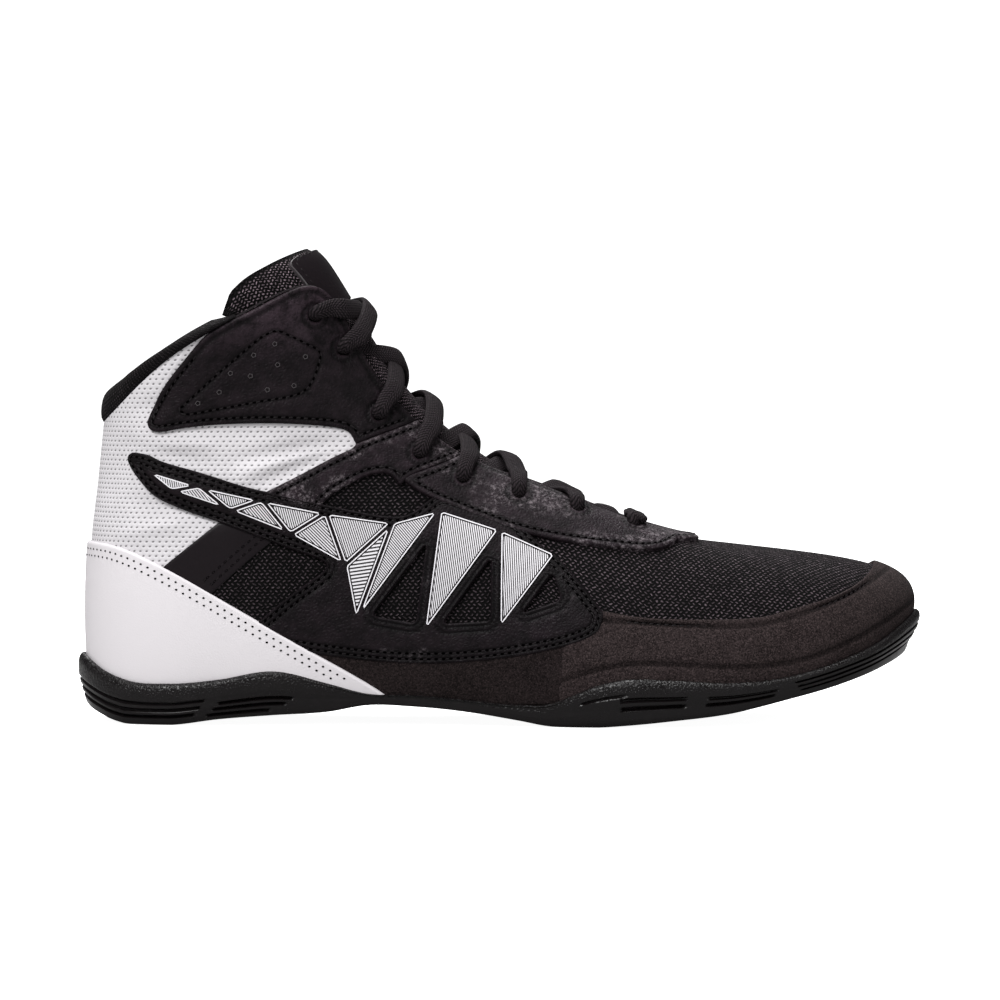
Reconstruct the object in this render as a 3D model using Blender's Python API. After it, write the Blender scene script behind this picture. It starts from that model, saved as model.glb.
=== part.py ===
"""Wrestling shoe for the right foot: a laced high-top upper on a low sole with a heel and a forefoot pod.

Metres, +Z up, floor at z = 0. +X points at the toe, -Y is the outer side of the foot.
The upper is one surface through ribs that rise from the sole's edge to the throat and collar.
"""

import math
from collections import namedtuple

import bmesh
import bpy
import numpy as np

# Driving sizes
LENGTH = 0.287
BALL_WIDTH = 0.098
HEIGHT = 0.1605
BUMPER_HEIGHT = 0.044
WALL = 0.0024
OVERLAY = 0.0011
CUP_WALL = 0.0027
INSOLE = 0.0035
TONGUE = 0.0048
TONGUE_EDGE = 0.0018
COLLAR_PAD = 0.0050
COLLAR_TUCK = 0.014
LABEL = 0.0009
TREAD_RIM = 0.0065
TREAD_DEPTH = 0.0014
GROOVE = 0.0009
EYELET_INSET = 0.0092
EYELET_RADIUS = 0.0021
LACE_WIDTH = 0.0062
LACE_THICK = 0.0016
LACE_OVER = 0.0004
EDGE_REACH = 0.05
EYELET_SIDES = 5
EYELET_TURN = 0.2

# Clearances
GAP = 0.0003
GUARD_LIFT = 0.00045
STAY_LIFT = 0.00075
TONGUE_CLEARANCE = 0.0009
LACE_CLEARANCE = 0.0006

# Shares of a rib: a panel's least height, the step from one panel's edge to the next, and a panel's foot.
THIN_END = 0.012
SEAM = 0.006
BAND_FOOT = 0.012

# Mesh steps
COLUMNS_A_SIDE = 32
UPPER_ROWS = 8
ROWS_GATHER = 1.25
DENSE = 240
RIB_SPREAD = 0.020

OUTER, INNER = -1, 1

# A rib's places are shares: x of LENGTH from the heel, y of BALL_WIDTH from the middle, z of HEIGHT.
# out_ is the outer side of the foot and in_ the inner side. foot is on the sole, swell is how far the
# wall leans out past it, shoulder is where it turns in, and edge is the throat's or collar's edge.
Rib = namedtuple(
    "Rib",
    "name foot_x out_foot in_foot out_swell in_swell wide_z "
    "shoulder_x out_shoulder in_shoulder shoulder_z edge_x edge_y edge_z",
)
RIBS = (
    Rib("toe", 0.973, -0.090, 0.090, 0.155, 0.155, 0.350, 0.940, -0.050, 0.050, 0.338, 0.680, 0.000, 0.394),
    Rib("toe_corner", 0.956, 0.105, 0.272, 0.125, 0.120, 0.325, 0.917, 0.110, 0.215, 0.336, 0.678, 0.041, 0.396),
    Rib("toe_side", 0.912, 0.270, 0.385, 0.095, 0.085, 0.280, 0.865, 0.240, 0.320, 0.338, 0.673, 0.077, 0.401),
    Rib("small_toe", 0.838, 0.378, 0.442, 0.075, 0.062, 0.232, 0.790, 0.310, 0.374, 0.354, 0.662, 0.105, 0.411),
    Rib("ball", 0.757, 0.432, 0.443, 0.070, 0.060, 0.215, 0.715, 0.320, 0.372, 0.380, 0.636, 0.128, 0.427),
    Rib("tread", 0.667, 0.441, 0.388, 0.068, 0.080, 0.215, 0.635, 0.322, 0.335, 0.425, 0.589, 0.143, 0.460),
    Rib("fore_waist", 0.572, 0.404, 0.318, 0.080, 0.105, 0.225, 0.555, 0.302, 0.298, 0.475, 0.530, 0.158, 0.500),
    Rib("waist", 0.470, 0.350, 0.268, 0.100, 0.125, 0.235, 0.470, 0.274, 0.268, 0.530, 0.464, 0.173, 0.547),
    Rib("rear_waist", 0.375, 0.322, 0.266, 0.100, 0.125, 0.250, 0.405, 0.258, 0.255, 0.585, 0.411, 0.184, 0.614),
    Rib("instep", 0.290, 0.312, 0.288, 0.095, 0.105, 0.280, 0.345, 0.255, 0.250, 0.660, 0.353, 0.194, 0.729),
    Rib("ankle_front", 0.222, 0.308, 0.300, 0.085, 0.090, 0.300, 0.297, 0.274, 0.272, 0.710, 0.306, 0.210, 0.881),
    Rib("top_corner", 0.178, 0.304, 0.300, 0.080, 0.085, 0.310, 0.255, 0.288, 0.285, 0.720, 0.272, 0.262, 0.917),
    Rib("ankle", 0.135, 0.294, 0.290, 0.075, 0.075, 0.310, 0.182, 0.282, 0.282, 0.660, 0.198, 0.328, 0.856),
    Rib("ankle_back", 0.088, 0.262, 0.260, 0.065, 0.065, 0.300, 0.102, 0.276, 0.276, 0.600, 0.116, 0.330, 0.767),
    Rib("heel_corner", 0.044, 0.178, 0.178, 0.055, 0.055, 0.290, 0.050, 0.188, 0.188, 0.560, 0.056, 0.205, 0.672),
    Rib("heel", 0.019, 0.000, 0.000, 0.050, 0.050, 0.280, 0.025, 0.000, 0.000, 0.530, 0.031, 0.000, 0.630),
)

# Lines of the sole seen from the side: x as a share of LENGTH, the rest as shares of BUMPER_HEIGHT.
# bottom is the tread, floor carries the foot, rim is the top of the side wall, bulk its fullness.
SoleLine = namedtuple("SoleLine", "x bottom floor rim bulk")
SOLE_LINES = (
    SoleLine(0.000, 0.360, 0.220, 0.575, 1.00),
    SoleLine(0.014, 0.190, 0.205, 0.545, 1.00),
    SoleLine(0.043, 0.050, 0.195, 0.410, 1.00),
    SoleLine(0.066, 0.000, 0.190, 0.345, 1.00),
    SoleLine(0.116, 0.000, 0.188, 0.320, 1.00),
    SoleLine(0.170, 0.045, 0.190, 0.352, 0.95),
    SoleLine(0.235, 0.078, 0.196, 0.418, 0.90),
    SoleLine(0.300, 0.105, 0.202, 0.325, 0.60),
    SoleLine(0.345, 0.155, 0.212, 0.250, 0.35),
    SoleLine(0.400, 0.145, 0.205, 0.240, 0.25),
    SoleLine(0.470, 0.100, 0.168, 0.200, 0.25),
    SoleLine(0.520, 0.048, 0.138, 0.172, 0.35),
    SoleLine(0.560, 0.004, 0.120, 0.182, 0.60),
    SoleLine(0.582, 0.000, 0.118, 0.235, 0.75),
    SoleLine(0.614, 0.000, 0.120, 0.322, 0.90),
    SoleLine(0.645, 0.014, 0.128, 0.368, 1.00),
    SoleLine(0.700, 0.050, 0.155, 0.365, 1.00),
    SoleLine(0.770, 0.108, 0.210, 0.345, 1.00),
    SoleLine(0.830, 0.200, 0.292, 0.385, 1.00),
    SoleLine(0.890, 0.305, 0.390, 0.500, 1.00),
    SoleLine(0.940, 0.425, 0.505, 0.660, 1.00),
    SoleLine(0.970, 0.520, 0.590, 0.830, 1.00),
    SoleLine(0.985, 0.590, 0.640, 0.940, 1.00),
    SoleLine(1.000, 0.760, 0.700, 1.000, 1.00),
)

# The sole's side from its rim down: drop is a share of the side's height, thick of CUP_WALL,
# and groove says how far the row sinks into the side, as a share of GROOVE.
SideRow = namedtuple("SideRow", "drop thick groove")
SOLE_SIDE = (
    SideRow(0.00, 0.38, 0.0),
    SideRow(0.14, 0.85, 0.0),
    SideRow(0.42, 1.02, 0.0),
    SideRow(0.46, 1.00, 1.0),
    SideRow(0.54, 0.96, 1.0),
    SideRow(0.58, 0.92, 0.0),
    SideRow(0.66, 0.85, 0.0),
    SideRow(0.70, 0.80, 1.0),
    SideRow(0.78, 0.72, 1.0),
    SideRow(0.82, 0.66, 0.0),
    SideRow(1.00, 0.40, 0.0),
)
# Where the side's grooves run, as shares of LENGTH; the walls between them are the uprights.
GROOVED = ((0.045, 0.165), (0.190, 0.262), (0.620, 0.722), (0.742, 0.832), (0.852, 0.985))

# Rows of lugs: x is the row's middle as a share of LENGTH, across is the number of lugs.
LugRow = namedtuple("LugRow", "x across")
LUG_ROWS = (
    LugRow(0.100, 2), LugRow(0.145, 3), LugRow(0.190, 3), LugRow(0.235, 3),
    LugRow(0.553, 3), LugRow(0.598, 3), LugRow(0.643, 4), LugRow(0.688, 4),
    LugRow(0.733, 4), LugRow(0.778, 3), LugRow(0.823, 3), LugRow(0.868, 2),
)
LUG_LENGTH = 0.0078
LUG_GAP = 0.0034
LUG_ROOT = 0.0006

# Panel lines seen from the side: x as a share of LENGTH, z as a share of HEIGHT.
COUNTER_TOP = ((0.000, 0.385), (0.050, 0.371), (0.109, 0.318), (0.180, 0.244), (0.263, 0.159),
               (0.322, 0.102), (0.358, 0.064), (0.420, 0.000))
GUARD_TOP = ((0.240, 0.176), (0.299, 0.169), (0.417, 0.167), (0.500, 0.176), (0.571, 0.208),
             (0.618, 0.237), (0.737, 0.216), (0.832, 0.212), (0.891, 0.244), (0.927, 0.286),
             (0.956, 0.333), (0.985, 0.360))
EYESTAY_HIGH = ((0.370, 0.490), (0.386, 0.514), (0.447, 0.554), (0.462, 0.600), (0.480, 1.200),
                (0.700, 1.200))
EYESTAY_LOW = ((0.375, 0.500), (0.417, 0.466), (0.500, 0.409), (0.571, 0.377), (0.630, 0.362),
               (0.672, 0.356), (0.695, 0.369), (0.714, 0.388), (0.740, 0.430))
STAY_LOW = ((0.225, 0.480), (0.232, 0.480), (0.290, 0.462), (0.305, 0.483), (0.335, 0.513),
            (0.368, 0.523), (0.386, 0.518), (0.447, 0.558), (0.500, 0.590))
STAY_HIGH = ((0.225, 0.482), (0.263, 0.527), (0.316, 0.588), (0.323, 0.583), (0.398, 0.628),
             (0.401, 1.200), (0.500, 1.200))
ANKLE_LOW = ((0.060, 0.650), (0.080, 0.640), (0.086, 0.616), (0.097, 0.610), (0.204, 0.621),
             (0.316, 0.610), (0.325, 0.590), (0.398, 0.636), (0.420, 0.650))
ANKLE_BACK = ((0.060, 0.600), (0.080, 0.622), (0.095, 0.682), (0.111, 0.731), (0.139, 0.784),
              (0.172, 0.837), (0.180, 1.100), (0.400, 1.200))
PANEL_HIGH = ((0.040, 0.560), (0.062, 0.572), (0.145, 0.519), (0.263, 0.460), (0.382, 0.419),
              (0.477, 0.371), (0.553, 0.330), (0.607, 0.250), (0.650, 0.200))
PANEL_LOW = ((0.040, 0.560), (0.062, 0.555), (0.091, 0.483), (0.162, 0.422), (0.239, 0.347),
             (0.287, 0.254), (0.316, 0.170), (0.607, 0.100))

# Ends of the panels, as points seen from the side.
GUARD_SEAM = (0.572, 0.140)
GUARD_BACK = (0.252, 0.170)
COUNTER_FRONT = (0.340, 0.080)
EYESTAY_BACK = (0.384, 0.505)
STAY_FRONT = (0.449, 0.552)
STAY_BACK = (0.232, 0.481)
ANKLE_FRONT = (0.390, 0.629)
ANKLE_CORNER = (0.078, 0.626)
PANEL_FRONT = (0.612, 0.245)
PANEL_BACK = (0.060, 0.560)

# Height of the padded roll above the collar's edge, by rib place from the top corner to the heel.
COLLAR_RISE = (("ankle", 0.0014), ("ankle_back", 0.0048), ("heel_corner", 0.0098), ("heel", 0.0118))
COLLAR_FRONT = 0.166

# The roll's section: out is a share of COLLAR_PAD past the wall's face, up of the rise or the tuck.
COLLAR_SECTION = ((0.04, 0.00), (0.30, 0.42), (0.12, 0.84), (-0.50, 1.00), (-1.15, 0.84),
                  (-1.50, 0.30), (-1.35, -0.55))

# The tongue's stations: crown is its middle line and side its edge, x as a share of LENGTH,
# z of HEIGHT, y of BALL_WIDTH.
# sweep below 1 bows the row upward between its crown and its edge.
TongueRow = namedtuple("TongueRow", "crown_x crown_z side_x side_z side_y sweep")
TONGUE_ROWS = (
    TongueRow(0.725, 0.346, 0.737, 0.306, 0.170, 1.00),
    TongueRow(0.672, 0.382, 0.692, 0.330, 0.240, 1.00),
    TongueRow(0.633, 0.412, 0.654, 0.352, 0.262, 1.00),
    TongueRow(0.577, 0.458, 0.607, 0.382, 0.280, 1.00),
    TongueRow(0.524, 0.511, 0.553, 0.420, 0.286, 1.00),
    TongueRow(0.474, 0.564, 0.506, 0.460, 0.288, 1.00),
    TongueRow(0.431, 0.624, 0.462, 0.505, 0.290, 1.00),
    TongueRow(0.391, 0.692, 0.417, 0.562, 0.292, 1.00),
    TongueRow(0.365, 0.760, 0.364, 0.625, 0.296, 1.00),
    TongueRow(0.341, 0.828, 0.310, 0.698, 0.300, 1.00),
    TongueRow(0.319, 0.893, 0.260, 0.772, 0.304, 0.90),
    TongueRow(0.302, 0.944, 0.215, 0.826, 0.306, 0.75),
    TongueRow(0.288, 0.980, 0.186, 0.852, 0.304, 0.60),
    TongueRow(0.272, 0.998, 0.176, 0.856, 0.300, 0.50),
)
TONGUE_COLUMNS = 10
TONGUE_EASINGS = 3
# The label covers these of the tongue's rows, and so many columns to each side of the middle.
LABEL_ROWS = (-4, -1)
LABEL_COLUMNS = 2

# Eyelets from the toe end of the throat to its top, x as a share of LENGTH.
EYELETS = (0.656, 0.589, 0.521, 0.456, 0.405, 0.357, 0.315, 0.282)

Finish = namedtuple("Finish", "colour roughness metallic")
FINISHES = {
    "rubber": Finish((0.022, 0.021, 0.023), 0.55, 0.0),
    "black_mesh": Finish((0.016, 0.016, 0.018), 0.85, 0.0),
    "suede": Finish((0.030, 0.026, 0.026), 0.95, 0.0),
    "black_synthetic": Finish((0.028, 0.027, 0.031), 0.60, 0.0),
    "white_synthetic": Finish((0.80, 0.79, 0.81), 0.35, 0.0),
    "lace": Finish((0.014, 0.014, 0.014), 0.90, 0.0),
    "insole_cloth": Finish((0.020, 0.020, 0.022), 0.90, 0.0),
}


def loop_spline(knots, values):
    """A smooth closed curve through values at knots, which run from 0 up to the loop's whole length, 1."""
    count = len(values)
    steps = np.diff(np.append(knots, 1.0))
    system = np.zeros((count, count))
    slopes = (np.roll(values, -1, axis=0) - values) / steps[:, None]
    for i in range(count):
        before = steps[i - 1]
        after = steps[i]
        system[i, i - 1] += before
        system[i, i] += 2 * (before + after)
        system[i, (i + 1) % count] += after
    bends = np.linalg.solve(system, 6 * (slopes - np.roll(slopes, 1, axis=0)))

    def at(places):
        places = np.asarray(places, float) % 1.0
        index = np.clip(np.searchsorted(knots, places, side="right") - 1, 0, count - 1)
        nxt = (index + 1) % count
        width = steps[index][..., None]
        right = places[..., None] - knots[index][..., None]
        left = width - right
        return (
            (bends[index] * left**3 + bends[nxt] * right**3) / (6 * width)
            + (values[index] / width - bends[index] * width / 6) * left
            + (values[nxt] / width - bends[nxt] * width / 6) * right
        )

    return at


def soft_line(xs, ys):
    """A smooth curve y(x) through a table, level past its ends."""
    xs = np.asarray(xs, float)
    ys = np.asarray(ys, float)
    slopes = np.gradient(ys, xs)

    def at(x):
        x = np.clip(np.asarray(x, float), xs[0], xs[-1])
        i = np.clip(np.searchsorted(xs, x, side="right") - 1, 0, len(xs) - 2)
        width = xs[i + 1] - xs[i]
        u = (x - xs[i]) / width
        return (
            ys[i] * (1 + 2 * u) * (1 - u) ** 2
            + slopes[i] * width * u * (1 - u) ** 2
            + ys[i + 1] * u * u * (3 - 2 * u)
            + slopes[i + 1] * width * u * u * (u - 1)
        )

    return at


def place(x_share):
    """x in metres of a share of the length, with the origin under the middle of the shoe."""
    return (x_share - 0.5) * LENGTH


def share(x):
    return x / LENGTH + 0.5


SOLE_X = [row.x for row in SOLE_LINES]
SOLE_CURVES = {
    field: soft_line(SOLE_X, [getattr(row, field) for row in SOLE_LINES])
    for field in ("bottom", "floor", "rim", "bulk")
}


def sole_height(field, x):
    """Height of one of the sole's lines at x metres."""
    return np.maximum(SOLE_CURVES[field](share(x)), 0.0) * BUMPER_HEIGHT


def rib_points(rib, side):
    """The rib's foot, shoulder and edge as points, and how far it swells."""
    foot_y, shoulder_y, swell = (
        (rib.out_foot, rib.out_shoulder, rib.out_swell)
        if side == OUTER
        else (rib.in_foot, rib.in_shoulder, rib.in_swell)
    )
    foot_x = place(rib.foot_x)
    foot = (foot_x, side * foot_y * BALL_WIDTH, float(sole_height("floor", foot_x)) + GAP)
    shoulder = (place(rib.shoulder_x), side * shoulder_y * BALL_WIDTH, rib.shoulder_z * HEIGHT)
    edge = (place(rib.edge_x), side * rib.edge_y * BALL_WIDTH, rib.edge_z * HEIGHT)
    return foot, shoulder, edge, swell * BALL_WIDTH, rib.wide_z * HEIGHT


def ribs_round():
    """Every rib in order round the shoe: toe, outer side, heel, inner side."""
    outer = [rib_points(rib, OUTER) for rib in RIBS]
    inner = [rib_points(rib, INNER) for rib in RIBS[-2:0:-1]]
    return outer + inner


def rib_knots(feet, edges):
    """Places of the ribs round the loop from 0 to 1, alike on both sides of the shoe."""
    spans = [np.linalg.norm(np.roll(p, -1, axis=0) - p, axis=1) for p in (feet, edges)]
    steps = spans[0] + spans[1] + RIB_SPREAD
    steps = steps + steps[::-1]
    return np.concatenate([[0.0], np.cumsum(steps)[:-1]]) / steps.sum()


ROUND = ribs_round()
FEET = np.array([r[0] for r in ROUND])
EDGES = np.array([r[2] for r in ROUND])
KNOTS = rib_knots(FEET, EDGES)
RIB_AT = {rib.name: KNOTS[i] for i, rib in enumerate(RIBS)}
FOOT_LOOP = loop_spline(KNOTS, FEET)
SHOULDER_LOOP = loop_spline(KNOTS, np.array([r[1] for r in ROUND]))
EDGE_LOOP = loop_spline(KNOTS, EDGES)
SWELL_LOOP = loop_spline(KNOTS, np.array([[r[3], r[4]] for r in ROUND]))
TURN_STEP = 1e-4


def outward(around):
    """Level direction that points out of the shoe at places round it."""
    step = FOOT_LOOP(np.asarray(around) + TURN_STEP) - FOOT_LOOP(np.asarray(around) - TURN_STEP)
    normal = np.stack([step[..., 1], -step[..., 0], np.zeros_like(step[..., 0])], -1)
    return -normal / np.linalg.norm(normal, axis=-1, keepdims=True)


def skin(around, up):
    """Points of the upper's outer face: around runs 0 to 1 round the shoe, up 0 to 1 along a rib."""
    around, up = np.broadcast_arrays(np.asarray(around, float), np.asarray(up, float))
    foot = FOOT_LOOP(around)
    foot[..., 2] = sole_height("floor", foot[..., 0]) + GAP
    swell = SWELL_LOOP(around)
    wide = foot + outward(around) * swell[..., :1]
    wide[..., 2] = swell[..., 1]
    u = up[..., None]
    return (
        foot * (1 - u) ** 3
        + 3 * wide * u * (1 - u) ** 2
        + 3 * SHOULDER_LOOP(around) * u**2 * (1 - u)
        + EDGE_LOOP(around) * u**3
    )


def skin_normal(around, up):
    """Unit normal of the upper's outer face, pointing out."""
    h = TURN_STEP * 5
    low = np.clip(np.asarray(up, float) - h, 0, 1)
    high = np.clip(np.asarray(up, float) + h, 0, 1)
    along = skin(np.asarray(around) + h, up) - skin(np.asarray(around) - h, up)
    rise = skin(around, high) - skin(around, low)
    normal = np.cross(rise, along)
    return normal / np.linalg.norm(normal, axis=-1, keepdims=True)


def lifted(around, up, lift):
    """The outer face moved out by lift, or in where lift is negative."""
    return skin(around, up) + skin_normal(around, up) * lift


def first_over(around, above):
    """For each rib, the first place up it where above(points) turns positive, or 1."""
    steps = np.linspace(0, 1, DENSE)
    found = []
    for a in around:
        value = above(skin(np.full(DENSE, a), steps))
        over = np.nonzero(value > 0)[0]
        if len(over) == 0:
            found.append(1.0)
        elif over[0] == 0:
            found.append(0.0)
        else:
            i = over[0]
            part = value[i - 1] / (value[i - 1] - value[i])
            found.append(float(steps[i - 1] + (steps[i] - steps[i - 1]) * part))
    return np.array(found)


def up_to_line(around, line):
    """How far up each rib the panel line lies."""
    xs = [place(p[0]) for p in line]
    zs = [p[1] * HEIGHT for p in line]
    return first_over(around, lambda p: p[:, 2] - np.interp(p[:, 0], xs, zs))


def place_of(x_share, z_share):
    """The place round the outer side whose rib passes a point of the side view."""
    around = np.linspace(0.02, 0.48, DENSE)
    level = first_over(around, lambda p: p[:, 2] - z_share * HEIGHT)
    xs = skin(around, level)[:, 0]
    return float(np.interp(-place(x_share), -xs, around))


def on_facets(around, up, lift):
    """As lifted, but between two shared columns it lies on the straight chord that joins them."""
    step = 0.5 / COLUMNS_A_SIDE
    before = np.floor(np.asarray(around) / step + 1e-6)
    part = np.maximum(np.asarray(around) / step - before, 0)[..., None]
    return lifted(before * step, up, lift) * (1 - part) + lifted((before + 1) * step, up, lift) * part


def columns(start, end):
    """The shared columns round the shoe between two places, with both ends; start may be below 0."""
    step = 0.5 / COLUMNS_A_SIDE
    inside = [i * step for i in range(-2 * COLUMNS_A_SIDE, 2 * COLUMNS_A_SIDE + 1)]
    near = step * 0.3
    return np.array([start] + [a for a in inside if start + near < a < end - near] + [end])


def new_object(name, bm, finish, smooth=35):
    """An object of this mesh with its material, shaded smooth up to an edge angle in degrees."""
    bmesh.ops.recalc_face_normals(bm, faces=bm.faces)
    bmesh.ops.triangulate(bm, faces=bm.faces, quad_method="SHORT_EDGE")
    mesh = bpy.data.meshes.new(name)
    bm.to_mesh(mesh)
    bm.free()
    mesh.shade_smooth()
    mesh.set_sharp_from_angle(angle=math.radians(smooth))
    mesh.materials.append(material(finish))
    obj = bpy.data.objects.new(name, mesh)
    bpy.context.scene.collection.objects.link(obj)
    return obj


def material(name):
    """The Principled material of one finish."""
    if name in bpy.data.materials:
        return bpy.data.materials[name]
    made = bpy.data.materials.new(name)
    made.use_nodes = True
    shader = made.node_tree.nodes["Principled BSDF"]
    shader.inputs["Base Color"].default_value = (*FINISHES[name].colour, 1)
    shader.inputs["Roughness"].default_value = FINISHES[name].roughness
    shader.inputs["Metallic"].default_value = FINISHES[name].metallic
    made.diffuse_color = (*FINISHES[name].colour, 1)
    return made


def add_rows(bm, grid):
    return [[bm.verts.new(point) for point in row] for row in grid]


def weave(bm, rows, around=False):
    """Quads between neighbouring rows of vertices."""
    for low, high in zip(rows, rows[1:]):
        count = len(low)
        for j in range(count if around else count - 1):
            k = (j + 1) % count
            bm.faces.new((low[j], low[k], high[k], high[j]))


def shell(name, outer, inner, finish, around=False):
    """One closed solid between an outer and an inner grid of points with the same rows and columns."""
    bm = bmesh.new()
    out_rows = add_rows(bm, outer)
    in_rows = add_rows(bm, inner)
    weave(bm, out_rows, around)
    weave(bm, in_rows, around)
    weave(bm, [out_rows[0], in_rows[0]], around)
    weave(bm, [out_rows[-1], in_rows[-1]], around)
    if not around:
        for side in (0, -1):
            weave(bm, [[row[side] for row in out_rows], [row[side] for row in in_rows]])
    return new_object(name, bm, finish)


def ladder(bm, loop):
    """Fills a loop that runs toe, outer side, heel, inner side with strips from side to side."""
    count = len(loop)
    for j in range(count // 2):
        left, right = loop[j : j + 2]
        far_right, far_left = loop[-j - 1], loop[-j] if j else loop[0]
        corners = []
        for vert in (left, right, far_right, far_left):
            if vert not in corners:
                corners.append(vert)
        if len(corners) > 2:
            bm.faces.new(corners)


def stack(name, loops, finish, smooth=35):
    """One closed solid through loops round the shoe, filled across at the first and the last."""
    bm = bmesh.new()
    rows = add_rows(bm, loops)
    weave(bm, rows, around=True)
    ladder(bm, rows[0])
    ladder(bm, rows[-1])
    return new_object(name, bm, finish, smooth)


def band(name, finish, start, end, low, high, rows, lift=GAP):
    """An overlay on the upper between two places round it and from low to high up each rib."""
    around = columns(start, end)
    bottom = low(around)
    top = np.maximum(high(around), bottom + THIN_END)
    steps = np.linspace(0, 1, rows + 1)[:, None]
    up = bottom[None, :] * (1 - steps) + top[None, :] * steps
    grid = np.broadcast_to(around, up.shape)
    return shell(name, on_facets(grid, up, lift + OVERLAY), on_facets(grid, up, lift), finish)


def counter_top(around):
    """Top of the heel counter, up each rib."""
    return up_to_line(around, COUNTER_TOP)


def guard_low(around):
    """Bottom of the side guard: the sole, or the counter's edge where that is higher."""
    over = counter_top(around)
    return np.where(over > 0.03, over + SEAM * 2, BAND_FOOT)


def guard_top(around):
    return up_to_line(around, GUARD_TOP)


def ankle_low(around):
    return up_to_line(around, ANKLE_LOW) + SEAM


def panel_low(around):
    return np.maximum(up_to_line(around, PANEL_LOW), guard_top(around) + SEAM)


def loop_columns():
    return np.arange(2 * COLUMNS_A_SIDE) / (2 * COLUMNS_A_SIDE)


def make_upper():
    around = loop_columns()
    up = 1 - (1 - np.linspace(0, 1, UPPER_ROWS + 1)[:, None]) ** ROWS_GATHER
    grid, up = np.broadcast_arrays(around, up)
    return shell("upper", skin(grid, up), lifted(grid, up, -WALL), "black_mesh", around=True)


def grooved(x):
    """How far the sole's side grooves are sunk at x, from 0 to 1."""
    along = share(x)
    fade = 0.006
    depth = np.zeros_like(along)
    for start, end in GROOVED:
        inside = np.minimum(along - start, end - along) / fade
        depth = np.maximum(depth, np.clip(inside, 0, 1))
    return depth


def sole_loops():
    """The sole's loops: floor, inside of the cup, side with its grooves, tread rim and recess."""
    around = loop_columns()
    foot = FOOT_LOOP(around)
    out = outward(around)
    seat = GUARD_LIFT + OVERLAY + GAP
    rim = sole_height("rim", foot[:, 0])
    bottom = sole_height("bottom", foot[:, 0])
    bulk = SOLE_CURVES["bulk"](share(foot[:, 0]))
    floor = sole_height("floor", foot[:, 0])
    levels = [(floor + (rim - floor) * part, 0.0, 0.0) for part in (0.0, 0.5, 1.0)]
    for row in SOLE_SIDE:
        height = rim + (bottom + TREAD_DEPTH - rim) * row.drop
        thick = row.thick * CUP_WALL * (bulk if row.drop else 1)
        levels.append((height, thick, row.groove))
    loops = []
    for height, thick, groove in levels:
        up = np.array([first_over([a], lambda p: p[:, 2] - h)[0] for a, h in zip(around, height)])
        point = skin(around, up)
        lean = (skin_normal(around, up) * out).sum(1)
        reach = seat / lean + thick - groove * GROOVE * grooved(point[:, 0])
        point[:, 2] = height
        loops.append(point + out * reach[:, None])
    for inset, sunk in ((0.0012, 0), (TREAD_RIM, 0), (TREAD_RIM + TREAD_DEPTH * 0.6, 1)):
        point = foot - out * inset
        pod = np.clip((bulk - 0.35) / 0.3, 0, 1)
        point[:, 2] = sole_height("bottom", point[:, 0]) + sunk * TREAD_DEPTH * pod
        loops.append(point)
    return loops


def lug(bm, start, end, left, right):
    """One lug under the sole between two places along it and two across it."""
    corners = []
    for x, (y0, y1) in ((start, (left[0], right[0])), (end, (left[1], right[1]))):
        for y in (y0, y1):
            corners.append((x, y, float(sole_height("bottom", x))))
    low = [bm.verts.new(corners[i]) for i in (0, 1, 3, 2)]
    root = TREAD_DEPTH + LUG_ROOT
    high = [bm.verts.new((v.co.x, v.co.y, v.co.z + root)) for v in low]
    bm.faces.new(low)
    bm.faces.new(high[::-1])
    weave(bm, [low, high], around=True)


def make_outsole():
    loops = sole_loops()
    sole = stack("outsole", loops, "rubber", smooth=28)
    recess = loops[-1]
    outer = recess[: COLUMNS_A_SIDE + 1]
    inner = np.concatenate([recess[:1], recess[: COLUMNS_A_SIDE - 1 : -1]])
    bm = bmesh.new()
    for row in LUG_ROWS:
        ends = [place(row.x) - LUG_LENGTH / 2, place(row.x) + LUG_LENGTH / 2]
        low = np.interp(ends, outer[::-1, 0], outer[::-1, 1]) + LUG_GAP
        high = np.interp(ends, inner[::-1, 0], inner[::-1, 1]) - LUG_GAP
        pitch = (high - low + LUG_GAP) / row.across
        for k in range(row.across):
            lug(bm, *ends, low + pitch * k, low + pitch * (k + 1) - LUG_GAP)
    lugs = new_object("lug_blocks", bm, "rubber")
    lugs.hide_render = True
    lugs.display_type = "WIRE"
    join = sole.modifiers.new("lugs", "BOOLEAN")
    join.operation = "UNION"
    join.object = lugs
    return sole


def make_insole():
    around = loop_columns()
    point = FOOT_LOOP(around) - outward(around) * (WALL + 2 * GAP)
    loops = []
    for rise, draw in ((GAP, 0.0), (INSOLE * 0.8, 0.0), (INSOLE, INSOLE * 0.3)):
        loop = point - outward(around) * draw
        loop[:, 2] = sole_height("floor", FOOT_LOOP(around)[:, 0]) + rise
        loops.append(loop)
    return stack("insole", loops, "insole_cloth")


def collar_rise(around):
    """Height of the padded roll above the collar's edge."""
    names = [name for name, _ in COLLAR_RISE]
    curve = soft_line([RIB_AT[name] for name in names], [rise for _, rise in COLLAR_RISE])
    return curve(np.minimum(around, 1 - around))


def collar_start():
    """The place round the outer side where the padded roll meets the tongue."""
    around = np.linspace(RIB_AT["top_corner"], RIB_AT["heel"], DENSE)
    xs = EDGE_LOOP(around)[:, 0]
    return float(np.interp(-place(COLLAR_FRONT), -xs, around))


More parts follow.
